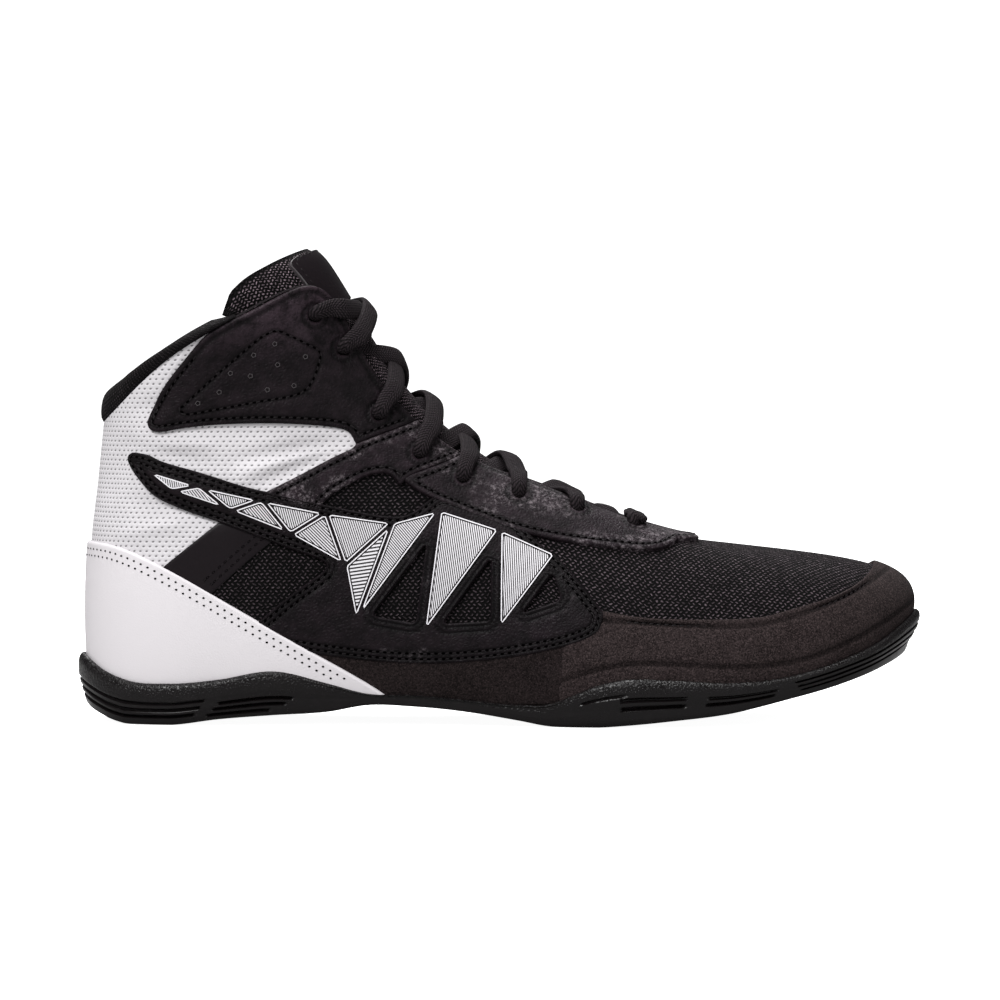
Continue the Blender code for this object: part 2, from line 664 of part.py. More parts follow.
def make_collar():
    start = collar_start()
    around = columns(start, 1 - start)
    edge = skin(around, np.ones_like(around))
    normal = skin_normal(around, np.ones_like(around))
    rise = edge - skin(around, np.full_like(around, 0.97))
    rise /= np.linalg.norm(rise, axis=1, keepdims=True)
    tall = collar_rise(around)[:, None]
    rows = []
    for out, up in COLLAR_SECTION:
        height = 2 * GAP + up * tall if up >= 0 else np.full_like(tall, up * COLLAR_TUCK)
        rows.append(edge + normal * out * COLLAR_PAD + rise * height)
    seat = -WALL - GAP * 2
    rows.append(edge + normal * (seat - COLLAR_PAD * 0.15) - rise * COLLAR_TUCK)
    rows.append(edge + normal * (seat - GAP) - rise * COLLAR_TUCK * 0.4)
    rows.append(edge + normal * seat + rise * 2 * GAP)
    bm = bmesh.new()
    lines = add_rows(bm, rows)
    weave(bm, lines + [lines[0]])
    for side in (0, -1):
        bm.faces.new([line[side] for line in lines])
    return new_object("collar", bm, "black_mesh")


TONGUE_STATIONS = np.arange(len(TONGUE_ROWS), dtype=float)
TONGUE_CURVES = {
    field: soft_line(TONGUE_STATIONS, [getattr(row, field) for row in TONGUE_ROWS])
    for field in TongueRow._fields
}


def tongue_face(station, turn):
    """Points of the tongue's outer face: turn 0 is its crown, a quarter turn its edge."""
    crown_x = place(TONGUE_CURVES["crown_x"](station))
    crown_z = TONGUE_CURVES["crown_z"](station) * HEIGHT
    side_x = place(TONGUE_CURVES["side_x"](station))
    side_z = TONGUE_CURVES["side_z"](station) * HEIGHT
    side_y = TONGUE_CURVES["side_y"](station) * BALL_WIDTH
    across = np.sin(turn)
    near = np.cos(turn)
    return np.stack(
        [
            side_x + (crown_x - side_x) * near,
            side_y * across,
            side_z + (crown_z - side_z) * np.maximum(near, 0) ** TONGUE_CURVES["sweep"](station),
        ],
        -1,
    )


def grid_normals(points):
    """Normals of a grid of points, from its own rows and columns."""
    along = np.gradient(points, axis=0)
    across = np.gradient(points, axis=1)
    normal = np.cross(across, along)
    return normal / np.linalg.norm(normal, axis=-1, keepdims=True)


def seated(points):
    """Moves points in until they clear the upper's wall and the collar's lining."""
    around, up = np.meshgrid(np.linspace(0, 1, DENSE, endpoint=False), np.linspace(0, 1, DENSE // 6))
    faces = skin(around, up).reshape(-1, 3)
    normals = skin_normal(around, up).reshape(-1, 3)
    wall = WALL + TONGUE_CLEARANCE
    result = points.reshape(-1, 3).copy()
    for i, point in enumerate(result):
        away = point - faces
        nearest = int(np.argmin((away**2).sum(1)))
        depth = float(away[nearest] @ normals[nearest])
        slip = np.linalg.norm(away[nearest] - depth * normals[nearest])
        if slip < WALL * 2 and depth > -wall:
            result[i] = point - normals[nearest] * (depth + wall)
    return result.reshape(points.shape)


def tongue_grids():
    """Outer and inner faces of the tongue as grids, stations by turns across it."""
    stations = np.linspace(0, len(TONGUE_ROWS) - 1, len(TONGUE_ROWS) + 2)
    turns = np.linspace(-math.pi / 2, math.pi / 2, TONGUE_COLUMNS + 1)
    station, turn = np.meshgrid(stations, turns, indexing="ij")
    outer = tongue_face(station, turn)
    for _ in range(TONGUE_EASINGS):
        eased = outer.copy()
        eased[1:-1, 1:-1] = (
            outer[1:-1, 1:-1] * 2 + outer[:-2, 1:-1] + outer[2:, 1:-1] + outer[1:-1, :-2] + outer[1:-1, 2:]
        ) / 6
        outer = seated(eased)
    middle = np.cos(turn) ** 0.5 * np.minimum(1, (stations[-1] - station) / 1.2 + 0.4)
    thick = TONGUE_EDGE + (TONGUE - TONGUE_EDGE) * np.clip(middle, 0, 1)
    inner = outer - grid_normals(outer) * thick[..., None]
    return outer, inner


def make_tongue():
    outer, inner = tongue_grids()
    return shell("tongue", outer, inner, "black_mesh")


def make_label():
    """The plain patch sewn on the front of the tongue's top, on the tongue's own facets."""
    outer, _ = tongue_grids()
    half = TONGUE_COLUMNS // 2
    part = (slice(*LABEL_ROWS), slice(half - LABEL_COLUMNS, half + LABEL_COLUMNS + 1))
    face = outer[part]
    normal = grid_normals(outer)[part]
    low = face + normal * GAP
    return shell("tongue_label", low + normal * LABEL, low, "black_synthetic")


def eyelet_places():
    """Where the eyelets lie: for each, its place round the outer side and up the rib."""
    around = np.linspace(RIB_AT["toe_side"], RIB_AT["top_corner"], DENSE)
    steps = np.linspace(0.5, 1, DENSE // 2)
    ups = []
    for a in around:
        rib = skin(np.full(len(steps), a), steps)
        left = np.linalg.norm(np.diff(rib, axis=0), axis=1)[::-1].cumsum()
        ups.append(steps[::-1][1:][np.searchsorted(left, EYELET_INSET)])
    ups = np.array(ups)
    xs = skin(around, ups)[:, 0]
    return [
        (float(np.interp(-place(x), -xs, around)), float(np.interp(-place(x), -xs, ups))) for x in EYELETS
    ]


def make_eyelet_cutter():
    """Short rods through the wall and the stays at every eyelet."""
    bm = bmesh.new()
    for around, up in eyelet_places():
        for a in (around, 1 - around):
            point = skin(a, up)
            normal = skin_normal(a, up)
            side = np.cross(normal, (0, 0, 1))
            side /= np.linalg.norm(side)
            other = np.cross(normal, side)
            rings = []
            for lift in (-3 * WALL, OVERLAY * 4):
                turns = EYELET_TURN + np.arange(EYELET_SIDES) * 2 * math.pi / EYELET_SIDES
                rings.append(
                    [
                        point + normal * lift + EYELET_RADIUS * (side * math.cos(t) + other * math.sin(t))
                        for t in turns
                    ]
                )
            low, high = add_rows(bm, rings)
            weave(bm, [low, high], around=True)
            bm.faces.new(low)
            bm.faces.new(high)
    cutter = new_object("eyelet_cutter", bm, "rubber")
    cutter.hide_render = True
    cutter.display_type = "WIRE"
    return cutter


def cut_eyelets(obj, cutter):
    cut = obj.modifiers.new("eyelets", "BOOLEAN")
    cut.operation = "DIFFERENCE"
    cut.object = cutter


def crown_near(point):
    """The point of the tongue's middle line nearest to a point, and the way out of the tongue there."""
    stations = np.linspace(0, len(TONGUE_ROWS) - 1, DENSE)
    line = tongue_face(stations, 0 * stations)
    nearest = int(np.argmin(((line - point)[:, ::2] ** 2).sum(1)))
    along = line[min(nearest + 2, DENSE - 1)] - line[max(nearest - 2, 0)]
    return line[nearest], np.cross((0, 1, 0), along / np.linalg.norm(along))


def lace_end(start, crown, side, lift):
    """The lace from an eyelet to the throat's edge: three points, each with its way out."""
    around, up = start
    at = around if side == OUTER else 1 - around
    eyelet = skin(at, up)
    tries = at + np.linspace(-EDGE_REACH, EDGE_REACH, DENSE)
    edge = EDGE_LOOP(tries)
    length = np.linalg.norm(edge - eyelet, axis=1) + np.linalg.norm(edge - crown, axis=1)
    over = tries[int(np.argmin(length))]
    route = ((at, up), ((at + over) / 2, (up + 1) / 2), (over, 1.0))
    return [(lifted(a, u, lift), skin_normal(a, u)) for a, u in route]


def add_bar(bm, start, end, side, raised=0.0):
    """One bar of the lace: from an eyelet on one side, over the tongue, to an eyelet on the other."""
    lift = STAY_LIFT + OVERLAY + LACE_CLEARANCE + LACE_THICK / 2 + raised
    middle = (skin(*start) + skin(*end)) / 2 * (1, 0, 1)
    crown, out = crown_near(middle)
    first = lace_end(start, crown, side, lift)
    last = lace_end(end, crown, -side, lift + LACE_OVER)
    over = LACE_CLEARANCE + LACE_THICK / 2 + raised + (LACE_OVER * 1.5 if side == INNER else 0)
    path = first + [(crown + out * over, out)] + last[::-1]
    chords = [0.0] + [float(np.linalg.norm(b[0] - a[0])) for a, b in zip(path, path[1:])]
    stations = np.cumsum(chords)
    fine = np.sort(np.append(stations, [(stations[2] + stations[3]) / 2, (stations[3] + stations[4]) / 2]))
    line, up = (
        np.stack([soft_line(stations, [node[k][i] for node in path])(fine) for i in range(3)], -1)
        for k in (0, 1)
    )
    up /= np.linalg.norm(up, axis=1, keepdims=True)
    across = np.cross(np.gradient(line, axis=0), up)
    across /= np.linalg.norm(across, axis=1, keepdims=True)
    section = ((-0.5, -0.5), (0.5, -0.5), (0.5, 0.5), (-0.5, 0.5))
    rings = [
        [p + w * LACE_WIDTH * x + n * LACE_THICK * y for x, y in section]
        for p, w, n in zip(line, across, up)
    ]
    rows = add_rows(bm, rings)
    weave(bm, rows, around=True)
    bm.faces.new(rows[0])
    bm.faces.new(rows[-1])


def make_laces():
    """The crossings over the tongue, joined into one solid: the first bar lies straight across."""
    places = eyelet_places()
    sets = []
    for side in (OUTER, INNER):
        bm = bmesh.new()
        for start, end in zip(places, places[1:]):
            add_bar(bm, start, end, side)
        sets.append(new_object("laces" if side == OUTER else "lace_return", bm, "lace"))
    bm = bmesh.new()
    add_bar(bm, places[0], places[0], OUTER, LACE_OVER * 0.6)
    sets.append(new_object("lace_first", bm, "lace"))
    for other in sets[1:]:
        other.hide_render = True
        other.display_type = "WIRE"
        join = sets[0].modifiers.new(other.name, "BOOLEAN")
        join.operation = "UNION"
        join.solver = "MANIFOLD"
        join.object = other
    return sets[0]


def both_sides(name, build):
    """The overlay on the outer side and its twin on the inner side."""
    return [build(f"{name}_outer", OUTER), build(f"{name}_inner", INNER)]


def span(side, start, end):
    """Two places round the outer side, or the same places on the inner side."""
    return (start, end) if side == OUTER else (1 - end, 1 - start)


def to_line(points):
    """How far up each rib a panel line lies, as a function of the place round the shoe."""
    return lambda around: up_to_line(around, points)


def make_overlays():
    """Panels sewn on the upper, which meet along their seams."""
    guard_seam = place_of(*GUARD_SEAM)
    counter_front = place_of(*COUNTER_FRONT)
    stay_front = place_of(*STAY_FRONT)
    eyestay_back = place_of(*EYESTAY_BACK)

    def foot(around):
        return np.full_like(around, BAND_FOOT)

    def side_guard(name, side):
        ends = span(side, guard_seam + SEAM / 4, place_of(*GUARD_BACK))
        return band(name, "suede", *ends, guard_low, guard_top, 3)

    def quarter_stay(name, side):
        ends = span(side, stay_front, place_of(*STAY_BACK))
        return band(name, "black_synthetic", *ends, to_line(STAY_LOW), to_line(STAY_HIGH), 3, STAY_LIFT)

    def ankle_overlay(name, side):
        ends = span(side, place_of(*ANKLE_FRONT), place_of(*ANKLE_CORNER))
        return band(name, "black_synthetic", *ends, ankle_low, to_line(ANKLE_BACK), 4, GUARD_LIFT)

    def side_panel(name, side):
        ends = span(side, place_of(*PANEL_FRONT), place_of(*PANEL_BACK))
        return band(name, "black_synthetic", *ends, panel_low, to_line(PANEL_HIGH), 3, STAY_LIFT)

    band("heel_counter", "white_synthetic", counter_front, 1 - counter_front, foot, counter_top, 3)
    band("toe_guard", "suede", -guard_seam, guard_seam, foot, guard_top, 5, GUARD_LIFT)
    eyestay = band(
        "eyestay", "black_synthetic", -eyestay_back, eyestay_back,
        to_line(EYESTAY_LOW), to_line(EYESTAY_HIGH), 3, STAY_LIFT,
    )
    both_sides("side_guard", side_guard)
    both_sides("side_panel", side_panel)
    return [eyestay] + both_sides("quarter_stay", quarter_stay) + both_sides("ankle_overlay", ankle_overlay)


def main():
    for obj in list(bpy.data.objects):
        bpy.data.objects.remove(obj)
    upper = make_upper()
    make_outsole()
    make_insole()
    make_collar()
    make_tongue()
    make_label()
    cutter = make_eyelet_cutter()
    for punched in [upper] + make_overlays():
        cut_eyelets(punched, cutter)
    make_laces()


main()
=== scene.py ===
"""Dresses the solids of a wrestling shoe for the right foot: mesh, suede, synthetic panels, rubber and lace.

Metres, +Z up, floor at z = 0. +X points at the toe, -Y is the outer side of the foot.
A place on the upper is a pair: around runs 0 to 1 round the shoe from the toe over the outer side,
up runs 0 to 1 from the sole to the throat's or collar's edge.
"""

import math
from collections import namedtuple

import bpy
import numpy as np
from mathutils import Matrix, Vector, kdtree
from mathutils.geometry import delaunay_2d_cdt


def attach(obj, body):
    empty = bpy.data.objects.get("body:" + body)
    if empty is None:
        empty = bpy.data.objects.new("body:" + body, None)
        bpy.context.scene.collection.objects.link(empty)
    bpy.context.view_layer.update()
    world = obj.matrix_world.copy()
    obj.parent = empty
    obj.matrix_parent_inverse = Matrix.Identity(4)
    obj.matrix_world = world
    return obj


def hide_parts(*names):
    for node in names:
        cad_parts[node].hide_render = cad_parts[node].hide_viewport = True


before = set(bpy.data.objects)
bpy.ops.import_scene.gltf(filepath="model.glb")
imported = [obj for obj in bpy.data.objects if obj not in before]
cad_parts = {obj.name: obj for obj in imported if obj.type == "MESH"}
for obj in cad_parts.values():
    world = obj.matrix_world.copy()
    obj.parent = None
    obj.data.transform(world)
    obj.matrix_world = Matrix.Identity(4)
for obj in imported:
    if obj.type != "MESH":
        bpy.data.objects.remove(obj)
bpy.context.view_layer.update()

bl_info = {
    "name": "Wrestling Shoe Finish",
    "version": (1, 0, 0),
    "blender": (4, 5, 0),
    "location": "3D View > Sidebar > Shoe",
    "description": "Builds the visible pieces of a laced wrestling shoe round its solids",
    "category": "Object",
}

OUTER, INNER = -1, 1
BOTH = (OUTER, INNER)

# The solids' driving sizes
LENGTH = 0.287
BALL_WIDTH = 0.098
HEIGHT = 0.1605
BUMPER_HEIGHT = 0.044
WALL = 0.0024
CUP_WALL = 0.0027
TONGUE = 0.0048
TONGUE_EDGE = 0.0018
TONGUE_CLEARANCE = 0.0009
COLLAR_PAD = 0.0050
COLLAR_TUCK = 0.014
TREAD_RIM = 0.0065
TREAD_DEPTH = 0.0014
EYELET_INSET = 0.0092
EYELET_RADIUS = 0.0021
GAP = 0.0003
EDGE_REACH = 0.05
DENSE = 240
RIB_SPREAD = 0.020

# How high each layer's face lies over the wall
GUARD_FACE = 0.0014
PANEL_FACE = 0.0011
SMOOTH_FACE = PANEL_FACE * 0.7
STAY_FACE = 0.0016
WEDGE_FACE = 0.0019
EYESTAY_FACE = 0.0020

# Mesh steps
EDGE_STEP = 0.0009
FIELD_STEP = 0.0014
EDGE_ROWS = (0.00022, 0.0005, 0.0010)
OVERLAY_ROWS = (*EDGE_ROWS, 0.0016, 0.0020, 0.0024, 0.0030)
SEWN_ROWS = (-0.0012, -0.0006, 0.0, 0.0006, 0.0012)
SEWN_CLEAR = 0.0015
TURN_STEP = 1e-4
DAMPING = 3e-5
TINY = 1e-12

# The search for a place on the wall: its rounds and the longest step of each
PLACE_ROUNDS = 14
MOST_ROUND = 0.004
MOST_UP = 0.03

Rib = namedtuple(
    "Rib",
    "name foot_x out_foot in_foot out_swell in_swell wide_z "
    "shoulder_x out_shoulder in_shoulder shoulder_z edge_x edge_y edge_z",
)
RIBS = [Rib(*row) for row in (
    ("toe", 0.973, -0.090, 0.090, 0.155, 0.155, 0.350, 0.940, -0.050, 0.050, 0.338, 0.680, 0.000, 0.394),
    ("toe_corner", 0.956, 0.105, 0.272, 0.125, 0.120, 0.325, 0.917, 0.110, 0.215, 0.336, 0.678, 0.041, 0.396),
    ("toe_side", 0.912, 0.270, 0.385, 0.095, 0.085, 0.280, 0.865, 0.240, 0.320, 0.338, 0.673, 0.077, 0.401),
    ("small_toe", 0.838, 0.378, 0.442, 0.075, 0.062, 0.232, 0.790, 0.310, 0.374, 0.354, 0.662, 0.105, 0.411),
    ("ball", 0.757, 0.432, 0.443, 0.070, 0.060, 0.215, 0.715, 0.320, 0.372, 0.380, 0.636, 0.128, 0.427),
    ("tread", 0.667, 0.441, 0.388, 0.068, 0.080, 0.215, 0.635, 0.322, 0.335, 0.425, 0.589, 0.143, 0.460),
    ("fore_waist", 0.572, 0.404, 0.318, 0.080, 0.105, 0.225, 0.555, 0.302, 0.298, 0.475, 0.530, 0.158, 0.500),
    ("waist", 0.470, 0.350, 0.268, 0.100, 0.125, 0.235, 0.470, 0.274, 0.268, 0.530, 0.464, 0.173, 0.547),
    ("rear_waist", 0.375, 0.322, 0.266, 0.100, 0.125, 0.250, 0.405, 0.258, 0.255, 0.585, 0.411, 0.184, 0.614),
    ("instep", 0.290, 0.312, 0.288, 0.095, 0.105, 0.280, 0.345, 0.255, 0.250, 0.660, 0.353, 0.194, 0.729),
    ("ankle_front", 0.222, 0.308, 0.300, 0.085, 0.09, 0.300, 0.297, 0.274, 0.272, 0.710, 0.306, 0.210, 0.881),
    ("top_corner", 0.178, 0.304, 0.300, 0.080, 0.085, 0.310, 0.255, 0.288, 0.285, 0.720, 0.272, 0.262, 0.917),
    ("ankle", 0.135, 0.294, 0.290, 0.075, 0.075, 0.310, 0.182, 0.282, 0.282, 0.660, 0.198, 0.328, 0.856),
    ("ankle_back", 0.088, 0.262, 0.260, 0.065, 0.065, 0.300, 0.102, 0.276, 0.276, 0.600, 0.116, 0.330, 0.767),
    ("heel_corner", 0.044, 0.178, 0.178, 0.055, 0.055, 0.29, 0.050, 0.188, 0.188, 0.560, 0.056, 0.205, 0.672),
    ("heel", 0.019, 0.000, 0.000, 0.050, 0.050, 0.280, 0.025, 0.000, 0.000, 0.530, 0.031, 0.000, 0.630),
)]

# Lines of the sole seen from the side: x as a share of LENGTH, the rest as shares of BUMPER_HEIGHT.
# bottom is the tread, floor carries the foot, rim is the top of the side wall, bulk its fullness.
SoleLine = namedtuple("SoleLine", "x bottom floor rim bulk")
SOLE_LINES = [SoleLine(*row) for row in (
    (0.000, 0.360, 0.220, 0.575, 1.00),
    (0.014, 0.190, 0.205, 0.545, 1.00),
    (0.043, 0.050, 0.195, 0.410, 1.00),
    (0.066, 0.000, 0.190, 0.345, 1.00),
    (0.116, 0.000, 0.188, 0.320, 1.00),
    (0.170, 0.045, 0.190, 0.352, 0.95),
    (0.235, 0.078, 0.196, 0.418, 0.90),
    (0.300, 0.105, 0.202, 0.325, 0.60),
    (0.345, 0.155, 0.212, 0.250, 0.35),
    (0.400, 0.145, 0.205, 0.240, 0.25),
    (0.470, 0.100, 0.168, 0.200, 0.25),
    (0.520, 0.048, 0.138, 0.172, 0.35),
    (0.560, 0.004, 0.120, 0.182, 0.60),
    (0.582, 0.000, 0.118, 0.235, 0.75),
    (0.614, 0.000, 0.120, 0.322, 0.90),
    (0.645, 0.014, 0.128, 0.368, 1.00),
    (0.700, 0.050, 0.155, 0.365, 1.00),
    (0.770, 0.108, 0.210, 0.345, 1.00),
    (0.830, 0.200, 0.292, 0.385, 1.00),
    (0.890, 0.305, 0.390, 0.500, 1.00),
    (0.940, 0.425, 0.505, 0.660, 1.00),
    (0.970, 0.520, 0.590, 0.830, 1.00),
    (0.985, 0.590, 0.640, 0.940, 1.00),
    (1.000, 0.760, 0.700, 1.000, 1.00),
)]

# Rows of lugs: x is the row's middle as a share of LENGTH, across is the number of lugs.
LugRow = namedtuple("LugRow", "x across")
LUG_ROWS = [LugRow(*row) for row in (
    (0.100, 2), (0.145, 3), (0.190, 3), (0.235, 3),
    (0.553, 3), (0.598, 3), (0.643, 4), (0.688, 4),
    (0.733, 4), (0.778, 3), (0.823, 3), (0.868, 2),
)]
LUG_LENGTH = 0.0078
LUG_GAP = 0.0034
LUG_ROOT = 0.0006
# A lug's rings from its root to its middle: their share of its size, and their height
LUG_RINGS = ((1.0, TREAD_DEPTH + LUG_ROOT), (1.0, 0.0003), (0.95, 0.0), (0.60, 0.0), (0.52, 0.0005))

# The third cloth coordinate far from any seam, and how far from its edge a puffed panel is full
CLOTH_FAR = 0.01
PUFF_WIDE = 0.004

# The tongue's stations: crown is its middle line and side its edge, x as a share of LENGTH,
# z of HEIGHT, y of BALL_WIDTH.
# sweep below 1 bows the row upward between its crown and its edge.
TongueRow = namedtuple("TongueRow", "crown_x crown_z side_x side_z side_y sweep")
TONGUE_ROWS = [TongueRow(*row) for row in (
    (0.725, 0.346, 0.737, 0.306, 0.170, 1.00),
    (0.672, 0.382, 0.692, 0.330, 0.240, 1.00),
    (0.633, 0.412, 0.654, 0.352, 0.262, 1.00),
    (0.577, 0.458, 0.607, 0.382, 0.280, 1.00),
    (0.524, 0.511, 0.553, 0.420, 0.286, 1.00),
    (0.474, 0.564, 0.506, 0.460, 0.288, 1.00),
    (0.431, 0.624, 0.462, 0.505, 0.290, 1.00),
    (0.391, 0.692, 0.417, 0.562, 0.292, 1.00),
    (0.365, 0.760, 0.364, 0.625, 0.296, 1.00),
    (0.341, 0.828, 0.310, 0.698, 0.300, 1.00),
    (0.319, 0.893, 0.260, 0.772, 0.304, 0.90),
    (0.302, 0.944, 0.215, 0.826, 0.306, 0.75),
    (0.288, 0.980, 0.186, 0.852, 0.304, 0.60),
    (0.272, 0.998, 0.176, 0.856, 0.300, 0.50),
)]
TONGUE_STEPS = 56
TONGUE_COLUMNS = 36
TONGUE_EASINGS = 12

# Eyelets from the toe end of the throat to its top, x as a share of LENGTH.
EYELETS = (0.656, 0.589, 0.521, 0.456, 0.405, 0.357, 0.315, 0.282)

# Height of the padded roll above the collar's edge, by rib.
COLLAR_RISE = (("ankle", 0.0014), ("ankle_back", 0.0048), ("heel_corner", 0.0098), ("heel", 0.0118))
COLLAR_FRONT = 0.166
COLLAR_SECTION = ((0.04, 0.00), (0.30, 0.42), (0.12, 0.84), (-0.50, 1.00), (-1.15, 0.84),
                  (-1.50, 0.30), (-1.35, -0.55), (-1.10, -1.00))

# Panel outlines as the outer side shows them: x as a share of LENGTH, z as a share of HEIGHT.
ANKLE_OUTLINE = ((0.0894, 0.6334), (0.0894, 0.6334), (0.0942, 0.6585), (0.1015, 0.6856),
    (0.1158, 0.7253), (0.1371, 0.7731), (0.1570, 0.8147), (0.1779, 0.8396), (0.1963, 0.8522),
    (0.2251, 0.8793), (0.2551, 0.9086), (0.2758, 0.9213), (0.2919, 0.9215), (0.3058, 0.9007),
    (0.3150, 0.8757), (0.3266, 0.8506), (0.3430, 0.8129), (0.3641, 0.7584), (0.3875, 0.6914),
    (0.4109, 0.6410), (0.4109, 0.6410), (0.3864, 0.6224), (0.3539, 0.6039), (0.3318, 0.5873),
    (0.3318, 0.5873), (0.3295, 0.5957), (0.3260, 0.6082), (0.3201, 0.6165), (0.3108, 0.6208),
    (0.2957, 0.6250), (0.2424, 0.6314), (0.1773, 0.6294), (0.1296, 0.6211), (0.1037, 0.6106),
    (0.0918, 0.6168))
STAY_OUTLINE = ((0.3318, 0.5873), (0.3318, 0.5873), (0.3539, 0.6018), (0.3864, 0.6224),
    (0.4109, 0.6389), (0.4296, 0.6158), (0.4648, 0.5696), (0.4648, 0.5696), (0.4473, 0.5531),
    (0.4181, 0.5348), (0.3937, 0.5184), (0.3833, 0.4998), (0.3833, 0.4998), (0.3704, 0.5268),
    (0.3541, 0.5248), (0.3378, 0.5166), (0.3076, 0.4876), (0.2937, 0.4648), (0.2833, 0.4420),
    (0.2670, 0.4420), (0.2228, 0.4712), (0.2228, 0.4837), (0.2228, 0.4837), (0.2669, 0.5231),
    (0.2970, 0.5521), (0.3133, 0.5666), (0.3226, 0.5728), (0.3284, 0.5790))
EYESTAY_EDGE = ((0.7074, 0.3814), (0.7012, 0.3737), (0.6904, 0.3660), (0.6750, 0.3623),
    (0.6562, 0.3627), (0.6282, 0.3691), (0.5990, 0.3754), (0.5699, 0.3837), (0.5350, 0.3961),
    (0.5000, 0.4146), (0.4650, 0.4394), (0.4358, 0.4602), (0.4124, 0.4789), (0.3902, 0.5039),
    (0.3867, 0.5122), (0.3937, 0.5205), (0.4181, 0.5348), (0.4473, 0.5531), (0.4742, 0.5780))
WEDGE_OUTLINE = ((0.0663, 0.5474), (0.0651, 0.5620), (0.0700, 0.5705), (0.0773, 0.5686),
    (0.0906, 0.5646), (0.1048, 0.5502), (0.1540, 0.5274), (0.2018, 0.4983), (0.2402, 0.4837),
    (0.2844, 0.4648), (0.3380, 0.4439), (0.3741, 0.4334), (0.3950, 0.4375), (0.4125, 0.4623),
    (0.4299, 0.4850), (0.4533, 0.4704), (0.5233, 0.4249), (0.5315, 0.4023), (0.5466, 0.3756),
    (0.5698, 0.3468), (0.5952, 0.2937), (0.6206, 0.2364), (0.6206, 0.2364), (0.6135, 0.1828),
    (0.5000, 0.1399), (0.3836, 0.1301), (0.2554, 0.1588), (0.2087, 0.1796), (0.2181, 0.2172),
    (0.2181, 0.2172), (0.2555, 0.2736), (0.2951, 0.3215), (0.2997, 0.3360), (0.2904, 0.3485),
    (0.2554, 0.3693), (0.2101, 0.4005), (0.1692, 0.4275), (0.1365, 0.4461), (0.1001, 0.4730),
    (0.0846, 0.5020))
SMOOTH_OUTLINE = ((0.0916, 0.3080), (0.1177, 0.3460), (0.1716, 0.4234), (0.1716, 0.4234),
    (0.1972, 0.4297), (0.2298, 0.4005), (0.2345, 0.3859), (0.2345, 0.3859), (0.2031, 0.3402),
    (0.1727, 0.2901), (0.1727, 0.2901), (0.1563, 0.2629), (0.1093, 0.2728))
GUARD_OUTLINE = ((0.2228, 0.2172), (0.2554, 0.1944), (0.2892, 0.1861), (0.4046, 0.1805),
    (0.4430, 0.1704), (0.4768, 0.1812), (0.5139, 0.2024), (0.5476, 0.2234), (0.5801, 0.2484),
    (0.6044, 0.2568), (0.6044, 0.2568), (0.6043, 0.0581), (0.5696, 0.0469), (0.3834, 0.0437),
    (0.3017, 0.0537), (0.2227, 0.1587))
TOE_EDGE = ((0.9447, 0.3332), (0.9383, 0.3190), (0.9308, 0.3060), (0.9161, 0.2870),
    (0.8838, 0.2622), (0.8361, 0.2410), (0.7995, 0.2232), (0.7249, 0.2220), (0.6622, 0.2263),
    (0.6160, 0.2425), (0.5951, 0.2444), (0.5824, 0.2381), (0.5742, 0.2216), (0.5719, 0.1969),
    (0.5696, 0.1098), (0.5696, 0.1098), (0.5696, 0.0469))
COUNTER_TOP = ((0.0004, 0.3795), (0.0076, 0.3816), (0.0553, 0.3757), (0.1153, 0.3251),
    (0.1855, 0.2526), (0.2670, 0.1693), (0.3252, 0.1129), (0.3613, 0.0751), (0.3787, 0.0499))
WHITE_REGION = ((-0.0372, 0.8879), (0.1755, 0.8875), (0.1834, 0.7939), (0.3190, 0.6270),
    (0.3388, 0.5956), (0.3342, 0.5707), (0.2437, 0.4774), (0.1972, 0.4297), (0.1739, 0.4088),
    (0.1271, 0.3336), (0.0916, 0.2829), (-0.0450, 0.0424))

# Lines of stitches and rows of holes, placed the same way.
SHIELD_LINE = ((0.1273, 0.6607), (0.1273, 0.6607), (0.1717, 0.7357), (0.1960, 0.7731),
    (0.2227, 0.8148), (0.2389, 0.8252), (0.2389, 0.8252), (0.2608, 0.8065), (0.2897, 0.7794),
    (0.2897, 0.7794), (0.2851, 0.7397), (0.2771, 0.7064), (0.2632, 0.6876), (0.2250, 0.6773),
    (0.1657, 0.6586), (0.1355, 0.6482), (0.1285, 0.6524))
TOE_LINES = (
    ((0.5800, 0.2176), (0.5928, 0.2238), (0.6205, 0.2220), (0.6691, 0.2160),
    (0.7178, 0.2098), (0.7935, 0.2070), (0.8489, 0.2305), (0.9007, 0.2636), (0.9364, 0.2958),
    (0.9577, 0.3153)),
    ((0.5719, 0.0994), (0.6112, 0.1229), (0.6528, 0.1357), (0.7014, 0.1338),
    (0.7769, 0.1249), (0.8486, 0.1376), (0.8998, 0.1709), (0.9520, 0.2191), (0.9888, 0.2587)),
    ((0.5765, 0.2113), (0.5730, 0.1824), (0.5696, 0.1451), (0.5696, 0.0952)),
)
SMOOTH_LINES = (
    ((0.2263, 0.3943), (0.1949, 0.3464), (0.1645, 0.2963)),
    ((0.2182, 0.4005), (0.1879, 0.3547), (0.1564, 0.3046)),
)
PINHOLES = ((0.2365, 0.7960), (0.2122, 0.7731), (0.2712, 0.7689), (0.2400, 0.7523),
    (0.1855, 0.7356), (0.2087, 0.7294), (0.2586, 0.7085), (0.2284, 0.7002), (0.1727, 0.6961),
    (0.1483, 0.6732))

